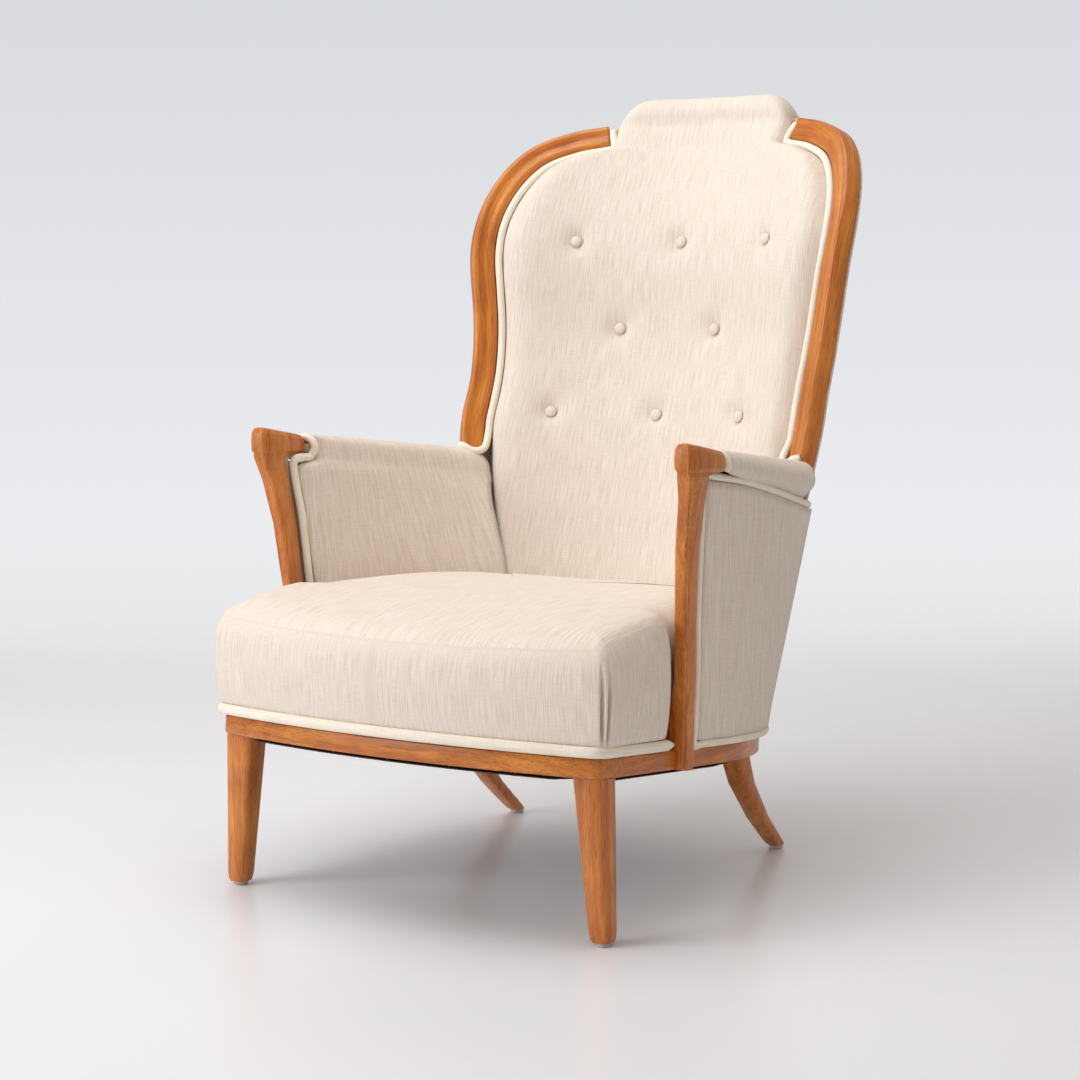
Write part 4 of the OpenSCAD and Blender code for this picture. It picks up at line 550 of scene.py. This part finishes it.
arm_pad_t, roll_first_row = 11, 34
arm_rows = np.linspace(0, 11, 78)
arm_columns = np.concatenate([[0, 0.006, 0.012, 0.019, 0.027, 0.036], np.linspace(0.05, 1, 37)])
for side, name in ((1, "left"), (-1, "right")):
    outer = arm_grid(0, arm_rows, arm_columns) * [side, 1, 1]
    inner = arm_grid(arm_pad_t, arm_rows, lerp(0.004, 0.996, arm_columns)) * [side, 1, 1]
    up, back = run_lengths(outer)
    lie = np.stack([outer[..., 1] / 1000, up, np.full(up.shape, side)], 2)
    arm = shell(name + "_inside_arm", outer, inner, linen, lie)
    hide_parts(name + "_inside_arm_cover", name + "_arm_pad")
    # The roll's rear end is closed with a flat disc of the same cloth.
    end = outer[roll_first_row:, -1] + [0, -1.2, 0]
    middle, disc_t = end.mean(0), [0, 1.5, 0]
    rings = [end, lerp(end, middle, 0.5), lerp(end, middle, 0.97), lerp(end, middle, 0.97) - disc_t,
             lerp(end, middle, 0.06) - disc_t]
    points = np.concatenate(rings)
    new_piece(name + "_roll_end", points, tube_faces(len(rings), len(end)), linen,
              points[:, [0, 2, 1]] / 1000)

# Seat. A sprung seat under hair and fibre, pulled down in linen over a stitched front edge to the
# lip of the rails. It has a crown, drawn-in sides, and two pleats at each front corner.
seat_h, seat_edge_r, hessian_t, seat_w = 389, 50, 1.3, frame_half_w + 15
front_bow = 45
front_arc_r = (frame_half_w ** 2 + front_bow ** 2) / (2 * front_bow)
ear_y = post_foot_front - post_reach / 2
seat_back_y = front_y + frame_depth - 14


def seat_front_y(x):
    return front_y + front_arc_r - front_bow - np.sqrt(front_arc_r ** 2 - x ** 2) - 10


def seat_rear_y(x):
    return seat_back_y - 1.25 * sag(x)


def arm_side_x(y):
    return lerp(arm_low_front, arm_low_rear, (y - arm_front(0)) / (arm_rear(0) + 12 - arm_front(0))) - 1


seat_outline = ([(s * seat_w, seat_front_y(s * seat_w), 0, 1) for s in (0, 0.25, 0.5, 0.71, 0.84)]
                + [(seat_w - 26, seat_front_y(seat_w - 26), -0.4, 0.92), (seat_w - 8, front_y - 4, -0.7, 0.7),
                   (seat_w - 1, front_y + 14, -0.92, 0.4), (seat_w, front_y + 60, -1, 0), (seat_w, ear_y - 18, -1, 0),
                   (seat_w - 5, ear_y - 5, -1, 0), (seat_w - 18, ear_y, -1, 0), (seat_w - 26, ear_y + 4, -1, 0)]
                + [(arm_side_x(y), y, -1, 0) for y in (ear_y + 24, ear_y + 110, ear_y + 215, ear_y + 316)]
                + [(0.57 * seat_w, seat_rear_y(0.6 * seat_w), -0.6, -0.8)]
                + [(s * seat_w, seat_rear_y(s * seat_w), 0, -1) for s in (0.41, 0.21, 0)])
seat_falls = [27, 17, 6, 1, 0, 1, 7, 17, 25]
fall_places = -front_y * np.array([-1.15, -0.98, -0.79, -0.55, -0.36, -0.15, 0.06, 0.255, 0.41])
ring_insets = [0.36, 0.34, 0.12, 0, 0.01, 0.09, 0.26, 0.54, 1]
ring_heights = [0, 0.09, 0.115, 0.42, 0.66, 0.8, 0.9, 0.965, 0.992]
pleat_places, pleat_wide, pleat_deep = (5.95, 6.55), 0.12, 11
full_at, full_wide, full_share = 9.4, 1.5, 0.4


def seat_bottom(y):
    step = float(np.clip((y - ear_y + 6) / 4, 0, 1))
    return lerp(rail_at(y, lip_h) + gap, rail_at(y, rail_h) + 2 * gap + hessian_t, step)


def seat_place(k, inset, h, toward):
    x, y, ix, iy = along(seat_outline, k)
    q = np.array([x + ix * inset, y + iy * inset])
    p = np.array([q[0] * (1 - toward), lerp(q[1], front_y / 3, toward)])
    back = 10 * h * (1 - toward) * np.clip(-iy / 0.8, 0, 1)
    z = lerp(seat_bottom(q[1]), seat_h - curve(fall_places, seat_falls, p[1]), h)
    return np.array([p[0], p[1] + back, z])


half_ks = np.concatenate([np.linspace(0, 5, 31), np.linspace(5, 7.5, 76)[1:], np.linspace(7.5, 20, 66)[1:]])
ring_js = np.concatenate([np.linspace(0, 8, 41), np.linspace(8, 9, 13)[1:]])
seat_rings, seat_cloth = [], []
for j in ring_js:
    ring_inset = curve(range(9), ring_insets, min(j, 8)) * seat_edge_r
    height = min(1, curve(range(9), ring_heights, min(j, 8)) + max(0, j - 8) * 0.008)
    toward = 0.97 * max(0, j - 8)
    half = []
    for k in half_ks:
        inset = ring_inset * (1 - full_share * np.exp(-((k - full_at) / full_wide) ** 2) * (1 if j > 3 else 0))
        p = seat_place(k, inset, height, toward)
        meet = 0.5 * (1 - min(1, height / 0.5)) ** 2
        places = [lerp(place, np.mean(pleat_places), meet) for place in pleat_places]
        fold = sum(np.exp(-((k - place) / pleat_wide) ** 2) for place in places)
        swell = sum(np.exp(-((k - place) / (3 * pleat_wide)) ** 2) for place in places)
        hold = np.clip((height - 0.1) / 0.08, 0, 1) * np.clip((0.8 - height) / 0.35, 0, 1)
        inward = along(seat_outline, k)[2:]
        p[:2] += unit(inward) * hold * (pleat_deep * fold - 1.2 * swell)
        half.append(p)
    half = np.array(half)
    ring = np.concatenate([half, (half * [-1, 1, 1])[-2:0:-1]])
    seat_rings.append(ring)
for ring in seat_rings:
    for p in ring:
        wander = noise.noise(Vector(p / 90)) * 1.3 + noise.noise(Vector(p / 35 + 7)) * 0.5
        lift = np.clip((p[2] - 250) / 60, 0, 1)
        p[2] += wander * lift
n = len(seat_rings[0])

# Its underside rests on the lip and on the sprung hessian, which rises inside the rails. The edge of
# the hessian goes by shares of the half width and by mm back from the front.
hessian_edge = np.array([(0, -28), (0.5, -19), (0.96, 14), (0.98, 44), (0.98, 293), (0.94, 398), (0.82, 443),
                         (0.725, 460), (0.58, 489), (0.29, 510), (0, 518)])
half_depth, rail_body_w = frame_depth / 2, frame_half_w - lip_t
corners = [np.array([x * rail_body_w, y - half_depth]) for x, y in hessian_edge]


def edge_reach(angle):
    """How far the hessian's edge lies from the seat's middle in a direction, along its straight sides."""
    d = np.array([np.sin(angle), -np.cos(angle)])
    for a, b in zip(corners, corners[1:]):
        e = b - a
        cross = d[0] * e[1] - d[1] * e[0]
        if abs(cross) < 1e-9:
            continue
        t, u = (a[0] * e[1] - a[1] * e[0]) / cross, (a[0] * d[1] - a[1] * d[0]) / cross
        if t > 0 and -1e-6 <= u <= 1 + 1e-6:
            return t
    return np.linalg.norm(corners[-1])


under_insets = [-0.9, -0.5, 8, 24, 42, 60, 80, 120, 165, 210, 250]
under_rings = []
for i, target in enumerate(under_insets):
    ring = []
    for p in seat_rings[0]:
        x, y = p[0], (p[1] - front_y) / np.cos(np.radians(rail_rake)) - half_depth
        reach, own = edge_reach(np.arctan2(abs(x), -y)), np.hypot(x, y)
        start = half_depth * (1 - own / reach)
        inset = max(target, start + 0.2 + 0.3 * i)
        f = reach * (1 - inset / half_depth) / own
        up = np.interp(inset, [0, 24, 78], [rail_h + 2.5, rail_h + 2.5, 101.5])
        level = lip_h + gap if i == 0 and start < -0.9 else up
        yy = p[1] + (front_y + half_depth - p[1]) * (1 - f)
        ring.append([x * f, yy, rail_at(yy, level)])
    under_rings.append(np.array(ring))
seat_rings = under_rings[::-1] + seat_rings
under = len(under_insets)
points = np.concatenate(seat_rings)
girth = np.zeros(n)
girth[1:] = np.cumsum(np.linalg.norm(np.diff(seat_rings[under + 12], axis=0), axis=1))
for j, ring in enumerate(seat_rings):
    side_cloth = np.stack([girth, ring[:, 2], np.zeros(n)], 1)
    top_cloth = np.stack([ring[:, 0] + girth.max() / 2, ring[:, 1], np.zeros(n)], 1)
    seat_cloth.append((side_cloth if j < under + 30 else top_cloth) / 1000)
faces = tube_faces(len(seat_rings), n)
seat = new_piece("seat_cushion", points, faces, linen, np.concatenate(seat_cloth))
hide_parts("seat_cover", "seat_pad")

# Inside back. Hair on hessian and webbing, under linen that is tied down by eight covered buttons
# and runs up over the crest rail between the bow's ends.
bow_ks = [0.72, 1.2, 1.7, 2.1, 2.41, 2.75, 3.1, 3.45, 3.75, 4.1, 4.5, 4.94, 5.4, 5.8, 6.2, 6.6, 7, 7.5, 8.1, 9]
crest_z, crest_core_depth, crest_half_w, crest_tail = total_h - 42, 24, 142, 16
crest_low_zs, crest_start_z, crest_narrow, crest_wrap = [987, 998], 972, 9, 4
crest_tail_depth, crest_tail_inner, back_inner_depth = 36.3, 34.2, 13
crest_turns = [0, 30, 60, 90, 120, 150, 180]
crest_shares = [0.74, 0.8, 0.9, 1, 0.88, 0.55, 0.35]
crest_edges = [20, 21.5, 22.5, 24.2, 21.5, 17.5, 15.5]
crest_inners = [11, 13.2, 16.5, 19, 16.5, 12.5, 10.5]
crest_out = total_h - on_barrel(0, crest_z, crest_core_depth)[2]
button_rows = [4.94, 3.75, 2.36]
button_columns = [[-0.62, 0, 0.61], [-0.34, 0.3], [-0.68, -0.015, 0.62]]
button_pull = 11


def bow_surface(k, share):
    e = tuck(k)
    x = share * e[0]
    return on_barrel(x, e[2], core_depth) - barrel_normal(x, e[2]) * cover_out(x) * rise(share)


def crest_point(i, share):
    """The crest's ends are rounded down to the bow in a hollow curve."""
    a = np.radians(crest_turns[i])
    x = share * (crest_half_w - crest_narrow * np.sin(a) + (crest_wrap if i > 4 else 0))
    n = barrel_normal(x, crest_z)
    rounded = np.sqrt(1 - np.clip((abs(share) - 0.68) / 0.32, 0, 1) ** 2)
    out = lerp(crest_edges[i] - 9 * np.sin(a), crest_out * crest_shares[i], lerp(rise(share), rounded, np.sin(a)))
    return on_barrel(x, crest_z, crest_core_depth) + (np.array([0, 0, np.sin(a)]) - n * np.cos(a)) * out


def crest_low_point(z, share):
    x = share * crest_half_w
    low = core_depth - cover_out(x) * rise(share)
    high = crest_core_depth - lerp(crest_edges[0], crest_out * crest_shares[0], rise(share))
    return on_barrel(x, z, lerp(low, high, (z - crest_start_z) / (crest_z - crest_start_z)))


def back_controls(columns):
    return np.array([[bow_surface(k, c) for c in columns] for k in bow_ks]
                    + [[crest_low_point(z, c) for c in columns] for z in crest_low_zs]
                    + [[crest_point(i, c) for c in columns] for i in range(len(crest_turns))]
                    + [[on_barrel(c * crest_half_w, crest_z, crest_tail_depth) - [0, 0, crest_tail] for c in columns]])


def back_inner_controls(columns):
    rows = []
    for k in bow_ks:
        e = tuck(k)
        rows.append([on_barrel(c * (e[0] - 2), e[2], back_inner_depth) for c in columns])
    for z in crest_low_zs:
        rows.append([on_barrel(c * (crest_half_w - 2), z, back_inner_depth) for c in columns])
    for i, turned in enumerate(crest_turns):
        a = np.radians(turned)
        rows.append([on_barrel(c * (crest_half_w - 5), crest_z, crest_core_depth)
                     + (np.array([0, 0, np.sin(a)]) - barrel_normal(c * crest_half_w, crest_z) * np.cos(a))
                     * (crest_inners[i] - 8 * np.sin(a) * abs(c) ** 4) for c in columns])
    rows.append([on_barrel(c * crest_half_w, crest_z, crest_tail_inner) - [0, 0, crest_tail] for c in columns])
    return np.array(rows)


edge_columns = 1 - (1 - np.linspace(0, 1, 49)) ** 1.6
back_columns = np.concatenate([-edge_columns[:0:-1], edge_columns])
controls = back_controls(back_columns)
steps = np.linspace(0, len(controls) - 1, (len(controls) - 1) * 5 + 1)
outer = np.array([along(controls, r) for r in steps])
inner_controls = back_inner_controls(back_columns)
inner = np.array([along(inner_controls, r) for r in steps])
buttons = [(bow_surface(k, c), barrel_normal(c * tuck(k)[0], tuck(k)[2]))
           for k, cs in zip(button_rows, button_columns) for c in cs]
up, across = run_lengths(outer)
middle = across[:, len(back_columns) // 2][:, None]
back_cloth = np.stack([across - middle, up, np.zeros(up.shape)], 2)


def near_line(p, a, b):
    """Distance from p to the line between a and b, and the share along it."""
    d = b - a
    t = np.clip(((p - a) @ d) / (d @ d), 0, 1)
    return np.linalg.norm(p - a - d * t), t


ties = [(0, 3), (1, 3), (1, 4), (2, 4), (3, 5), (3, 6), (4, 6), (4, 7)]
pushed = outer.copy()
for j in range(outer.shape[0]):
    for i in range(outer.shape[1]):
        p = outer[j, i]
        near = min(range(8), key=lambda b: np.linalg.norm(p - buttons[b][0]))
        reach = np.linalg.norm(p - buttons[near][0])
        if reach > 130:
            continue
        deep = button_pull * (0.72 * np.exp(-(reach / 19) ** 2) + 0.28 * np.exp(-(reach / 9) ** 2))
        lines = [near_line(p, buttons[a][0], buttons[b][0]) for a, b in ties]
        deep += max(1.5 * np.exp(-(off / 9) ** 2) * (1 - 0.75 * np.sin(np.pi * t)) for off, t in lines)
        pushed[j, i] = p + buttons[near][1] * deep
for j in range(outer.shape[0]):
    for i in range(1, outer.shape[1] - 1):
        p = pushed[j, i]
        pushed[j, i] += (noise.noise(Vector(p / 110 + 3)) * 1.6 + noise.noise(Vector(p / 40)) * 0.4) \
            * np.array([0, -1, 0]) * min(1, rise(back_columns[i]))
back = shell("inside_back", pushed, inner, linen, back_cloth)
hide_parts("inside_back_cover", "back_pad")

# Buttons. Metal moulds covered in the same linen, tied through the pad with twine.
dome = [(0, 0.2), (3.2, 0.4), (3.6, 3.2), (6.4, 3.4), (7.6, 4.2), (8.0, 5.2), (7.7, 6.4), (6.6, 7.7), (4.6, 8.7),
        (2.2, 9.2), (0.0, 9.3)]
profile = np.array([along(dome, k) for k in np.linspace(0, len(dome) - 1, 31)])
profile[:, 0] = np.maximum(profile[:, 0], 0.02)
points, faces, cloth = [], [], []
for centre, n in buttons:
    base, out = centre + n * button_pull, -n
    side = unit(np.cross(out, [0, 0, 1]))
    upward = np.cross(side, out)
    start = len(points)
    for r, h in profile:
        for a in np.linspace(0, 2 * np.pi, 36, endpoint=False):
            arm = side * np.cos(a) + upward * np.sin(a)
            points.append(base + out * h + arm * r)
            cloth.append([r * np.cos(a) / 1000, (r * np.sin(a) + 40) / 1000, 0])
    faces += [tuple(start + i for i in f) for f in tube_faces(len(profile), 36)]
button_set = new_piece("buttons", points, faces, linen, cloth)
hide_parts("back_buttons")

# Welts. Cream cotton piping over a soft cord, paler than the linen so that it draws a light line:
# along the lip under the seat, up beside the bow and round its ends, behind the posts and round the
# front of the arm rolls, and round the outside arms.
piping = linen_weave("cream piping cloth", "#e4dac9", "#f1eadd", "#f8f3ea")


def welt(name, path, wide, tall, start, *stands_for):
    """A cord of wide by tall mm along a smooth path in mm."""
    path = [np.asarray(p, float) for p in path]
    line = np.array([along(path, k) for k in np.linspace(0, len(path) - 1, (len(path) - 1) * 6 + 1)])
    ahead = np.array([unit(line[min(i + 1, len(line) - 1)] - line[max(i - 1, 0)]) for i in range(len(line))])
    v, rings, cloth, run = np.asarray(start, float), [], [], 0.0
    turns = np.linspace(0, 2 * np.pi, 18, endpoint=False)
    for i, (p, t) in enumerate(zip(line, ahead)):
        v = unit(v - t * (v @ t))
        run += np.linalg.norm(p - line[i - 1]) if i else 0
        close = 0.35 if i in (0, len(line) - 1) else 1
        w = np.cross(t, v)
        uneven = 1 + 0.025 * noise.noise(Vector((run / 14, 3.1, 0)))
        rings.append([p + (v * np.cos(a) * tall + w * np.sin(a) * wide) / 2 * close * uneven for a in turns])
        cloth += [[a * wide / 2000, run / 1000, 0] for a in turns]
    made = new_piece(name, np.concatenate(rings), tube_faces(len(rings), 18), piping, cloth)
    if stands_for:
        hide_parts(*stands_for)
    return made


welt_x = frame_half_w + 4
half = [(welt_x, post_foot_front - 13), (welt_x, ear_y - 70), (welt_x, front_y + 40), (welt_x, front_y + 14),
        (welt_x - 4, front_y + 1), (welt_x - 15, front_y - 8)]
half += [(s * frame_half_w, seat_front_y(s * frame_half_w) + 5) for s in (0.84, 0.7, 0.52, 0.35, 0.17, 0)]
path = [(x, y, rail_at(y, lip_h) + gap + 7) for x, y in half + [(-x, y) for x, y in half[-2::-1]]]
welt("seat_welt", path, 10.7, 13.7, (0, 0, 1), "seat_welt")
welt_across, welt_depth = stile_w / 2 + welt_d / 2 + gap / 2, 3


def end_place(across, depth):
    return beside_stile(stile_end, across, depth) + stile_frame(stile_end)[3] * (welt_d / 2 + gap / 2)


bow_path = [beside_stile(1.92, 17, 2), beside_stile(1.9, 11, -5), beside_stile(1.865, 1, -6),
            beside_stile(1.86, -10, -6), beside_stile(1.9, -19.5, -4.6)]
bow_path += [beside_stile(k, -welt_across, welt_depth) for k in
            (2.08, 2.26, 2.7, 3.1, 3.5, 3.9, 4.3, 4.7, 5.1, 5.5, 5.9, 6.2, 6.5, 6.8, 7.1, 7.4, 7.7, 8, 8.3, 8.6, 8.9)]
bow_path += [beside_stile(stile_end, -stile_w / 2 - welt_d * 0.42, welt_depth)
             + stile_frame(stile_end)[3] * welt_d * 0.42,
             end_place(-stile_w / 2, 3), end_place(-0.1 * stile_w, 4), end_place(0.25 * stile_w, 6)]
for side, name in ((1, "left"), (-1, "right")):
    route = [p * [side, 1, 1] for p in bow_path]
    welt(name + "_back_welt", route, 10.6, 10.6, (0, -1, 0), "back_welts")

welt_r = welt_d / 2
knuckle_gap = knuckle_rear + welt_r + gap
cx, cz, rx, rz = roll(0)
arm_welt = [(post_inner(z) - 3, post_rear(z) + welt_r + gap, z) for z in (342, 385, 430, 475, 505, 524, 534)]
arm_welt += [(post_inner(540) - 3, post_rear(540) + welt_r + 2 * gap, 540),
             (knuckle_out - knuckle_w - 3, post_rear(542) + 7.5, 545),
             (knuckle_out - knuckle_w - 3, post_rear(542) + 12, 547.3),
             (knuckle_out - knuckle_w - 3, post_rear(542) + 18, 547.6),
             (knuckle_out - knuckle_w - 3, knuckle_gap - 12, 547.2),
             (knuckle_out - knuckle_w - 2, knuckle_gap - 4, 548)]
arm_welt += [(cx + (rx - welt_r + 1) * np.cos(a), knuckle_gap, cz + (rz - welt_r + 1) * np.sin(a))
             for a in np.radians(range(190, -46, -25))]

# Outside arms. Linen over stiff board, from the rail's lip to under the roll and from the post to
# the bow, with piping along its foot, up beside the post and back under the roll.
panel_t = 5
low_x, high_x = [300, 299, 289, 268, 248], [326, 324, 316, 303, 293]
low_y = [post_rear(rail_at(post_foot_front, lip_h)) + welt_d + 1, -82, 6, 76, 116]
high_y = [post_rear(cz - welt_d * 2) + welt_d + 1, -98, 0, 86, 150]
high_z = [543, 530, 511, 494, 481]
stile_zs = [stile_frame(k)[0][2] for k in np.arange(0, 3.01, 0.3)]


def panel_face(s, h):
    y = along(low_y, s)
    a = np.array([along(low_x, s), y, rail_at(y, lip_h) + welt_d + gap])
    return lerp(a, np.array([along(high_x, s), along(high_y, s), along(high_z, s)]), h)


def panel_place(s, h):
    if s <= 4:
        return panel_face(s, h)
    end = panel_face(4, h)
    p = beside_stile(curve(stile_zs, np.arange(0, 3.01, 0.3), max(end[2], stile_zs[0])), stile_w / 2 + panel_t - 0.5,
                     stile_d * 0.5)
    return lerp(end, np.array([p[0], p[1], end[2]]), s - 4)


def panel_out(s, h):
    e = panel_place(min(5, s + 0.2), h) - panel_place(max(0, s - 0.2), h)
    return unit(np.array([e[1], -e[0], 0]))


def panel_grid(depth, crown):
    return np.array([[panel_place(s, h) - panel_out(s, h) * (depth - crown * 16 * h * (1 - h) * np.clip(s / 2, 0, 1)
                                                             * np.clip((4.5 - s) / 2, 0, 1) / 4)
                      for s in np.linspace(0, 5, 41)] for h in np.linspace(0, 1, 31)])


def beside_panel(s, h, up):
    return panel_place(s, h) - panel_out(s, h) * (welt_r - 1) + [0, 0, up]


def post_side(z):
    low, high = panel_place(0, 0), panel_place(0, 1)
    x = panel_place(0, (z - low[2]) / (high[2] - low[2]))[0] - welt_r + 1
    return np.array([x, post_rear(z) + welt_r + gap, z])


panel_welt = [beside_panel(s, 0, -welt_r - gap / 2) for s in (4, 3.5, 3, 2.5, 2, 1.5, 1, 0.5, 0.15)]
panel_welt += [post_side(z) for z in (panel_place(0, 0)[2] - welt_r - gap / 2, 235, 270, 310, 355, 400, 450, 500,
                                      panel_place(0, 1)[2] + welt_r + gap / 2)]
panel_welt += [beside_panel(s, 1, welt_r + gap / 2) for s in (0.15, 0.5, 1, 1.5, 2, 2.5, 3, 3.5, 4)]
outer, inner = panel_grid(0, 1.6), panel_grid(panel_t, 0)
for side, name in ((1, "left"), (-1, "right")):
    up, back = run_lengths(outer)
    panel = shell(name + "_outside_arm", outer * [side, 1, 1], inner * [side, 1, 1], linen,
                  np.stack([back, up, np.full(up.shape, 2.0 * side)], 2))
    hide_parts(name + "_outside_arm_panel")
    route = [np.array(p) * [side, 1, 1] for p in arm_welt]
    welt(name + "_arm_welt", route, 10.7, 10.7, (-1, 0, 0), name + "_arm_welt")
    route = [p * [side, 1, 1] for p in panel_welt]
    welt(name + "_panel_welt", route, 10.4, 10.4, (0, 0, 1), name + "_panel_welt")

# Outside back. Linen drawn over a stiff board, blind-tacked up both stiles and across under the
# crest, and tacked under the rear rail's lip.
outside_depth = stile_d + 2
outside_ks = [0.4, 1, 1.6, 2.2, 2.8, 3.4, 4, 4.6, 5.2, 5.8, 6.3, 6.8]
top_ks, top_zs = [7.3, 8, 8.7], [970, 981, 990]
outside_foot_z, outside_proud, outside_sunk, draw_deep, draw_wide = 188, 2.5, 1, 9.5, 31


def outside_edge(k):
    return beside_stile(k, stile_w / 2 - 4, 0)


def drawn(c, half):
    """How far the cover is drawn forward over the back of the stile towards its outer edge."""
    return draw_deep * np.clip((abs(c) * half - half + draw_wide) / draw_wide, 0, 1)


def outside_grid(depth, columns):
    x = outside_edge(0)[0]
    rows = []
    for lift in (0, 20):
        row = []
        for c in columns:
            y = lean(outside_foot_z) - sag(c * x) + outside_depth - 3
            low = rail_at(y, lip_h) + gap - (outside_depth + panel_t) * barrel_normal(c * x, outside_foot_z)[2]
            row.append(on_barrel(c * x, low + lift, depth))
        rows.append(row)
    for k in outside_ks:
        e = outside_edge(k)
        rows.append([on_barrel(c * e[0], e[2], depth - drawn(c, e[0])) for c in columns])
    for k, z in zip(top_ks, top_zs):
        e = outside_edge(k)
        rows.append([on_barrel(c * e[0], lerp(z, e[2], abs(c) ** 8), depth - drawn(c, e[0])) for c in columns])
    return np.array([along(rows, r) for r in np.linspace(0, len(rows) - 1, (len(rows) - 1) * 3 + 1)])


columns = np.concatenate([np.linspace(1, 0.84, 9), np.linspace(0.8, -0.8, 33), np.linspace(-0.84, -1, 9)])
outer = outside_grid(outside_depth + outside_proud, columns)
inner = outside_grid(outside_depth - outside_sunk, columns)
flat_cloth = np.stack([outer[..., 0], outer[..., 2], np.full(outer.shape[:2], 5000.0)], 2) / 1000
outside = shell("outside_back", outer, inner, linen, flat_cloth)
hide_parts("outside_back_panel")

# Dust cover. Thin brown-black cotton, with no sheen, tacked to the undersides of the rails once the
# springs are tied.
cotton, tree, shader = material("brown-black cotton", 0.95, IOR=1.45)
thread = add(tree, "ShaderNodeTexNoise", {"Vector": add(tree, "ShaderNodeTexCoord").outputs["Object"],
                                          "Scale": 900.0, "Detail": 2.0}).outputs["Fac"]
tree.links.new(ramp(tree, thread, (0.35, "#453b34"), (0.65, "#574b42")), shader.inputs["Base Color"])
finish_node("dust_cover", cotton)

# Studio. A pale floor that turns up into the backdrop, with a faint gloss, under soft light from
# above and from the chair's right-hand front.
reach, far, height, bend = 9.0, 3.4, 5.0, 1.5
curve_points = [(-reach, 0)] + [(far - bend + bend * np.sin(a), bend - bend * np.cos(a))
                                for a in np.linspace(0, np.pi / 2, 16)] + [(far, height)]
back_way = Vector((-np.sin(turn), np.cos(turn), 0))
sideways = Vector((np.cos(turn), np.sin(turn), 0))
mesh = bpy.data.meshes.new("studio_floor")
verts = [tuple(back_way * y + sideways * x + Vector((0, 0, z))) for y, z in curve_points for x in (-reach, reach)]
mesh.from_pydata(verts, [], [(2 * i, 2 * i + 1, 2 * i + 3, 2 * i + 2) for i in range(len(curve_points) - 1)])
mesh.polygons.foreach_set("use_smooth", [True] * len(mesh.polygons))
floor = bpy.data.objects.new("studio_floor", mesh)
bpy.context.scene.collection.objects.link(floor)
painted, tree, shader = material("painted studio floor", 0.3, IOR=1.45)
smear = add(tree, "ShaderNodeTexNoise", {"Vector": add(tree, "ShaderNodeTexCoord").outputs["Object"],
                                         "Scale": 1.3, "Detail": 4.0}).outputs["Fac"]
tree.links.new(ramp(tree, smear, (0.3, "#e9ecf4"), (0.7, "#eef0f7")), shader.inputs["Base Color"])
# Behind the chair the camera sees a painted glow in place of the backdrop's own shading, and nothing else is lit by
# it. The glow is painted shade: it darkens towards the top, where the light falls off.
place = add(tree, "ShaderNodeNewGeometry").outputs["Position"]
along_way = add(tree, "ShaderNodeVectorMath", {0: place, 1: tuple(back_way + Vector((0, 0, 1)))},
                operation="DOT_PRODUCT").outputs["Value"]
rise_share = add(tree, "ShaderNodeMapRange", {"Value": along_way, "From Min": 1.0, "From Max": 5.0}).outputs["Result"]
taken = add(tree, "ShaderNodeMapRange", {"Value": along_way, "From Min": 0.8, "From Max": 2.8},
            interpolation_type="SMOOTHSTEP").outputs["Result"]
# Painted shade: the glow's tone runs darker up the backdrop, standing in for the light falling off.
tone = ramp(tree, rise_share, (0.3, "#ebecee"), (0.5, "#ebecef"), (0.75, "#e3e5e8"), (1, "#d9dbdf"))
painted_backdrop_glow = add(tree, "ShaderNodeEmission", {"Color": tone, "Strength": 1.0}).outputs["Emission"]
seen = add(tree, "ShaderNodeMath", {0: add(tree, "ShaderNodeLightPath").outputs["Is Camera Ray"], 1: taken},
           operation="MULTIPLY").outputs[0]
shown = add(tree, "ShaderNodeMixShader", {0: seen, 1: shader.outputs["BSDF"], 2: painted_backdrop_glow}).outputs["Shader"]
tree.links.new(shown, tree.nodes["Material Output"].inputs["Surface"])
mesh.materials.append(painted)

world = bpy.data.worlds.new("studio")
bpy.context.scene.world = world
world.use_nodes = True
world.node_tree.nodes["Background"].inputs["Color"].default_value = colour("#fff2e1")
world.node_tree.nodes["Background"].inputs["Strength"].default_value = 0.49


def softbox(name, place, aim, size, power):
    lamp = bpy.data.lights.new(name, "AREA")
    lamp.shape, lamp.size, lamp.energy = "SQUARE", size, power
    made = bpy.data.objects.new(name, lamp)
    made.matrix_world = (Matrix.Translation(place)
                         @ (Vector(aim) - Vector(place)).to_track_quat("-Z", "Y").to_matrix().to_4x4())
    bpy.context.scene.collection.objects.link(made)


softbox("overhead", (-0.4, -0.5, 3.1), (0, 0, 0.3), 2.4, 47)
softbox("window", (-1.9, -3.1, 1.7), (0, 0, 0.5), 2.0, 62)
bpy.context.scene.view_settings.view_transform = "Standard"
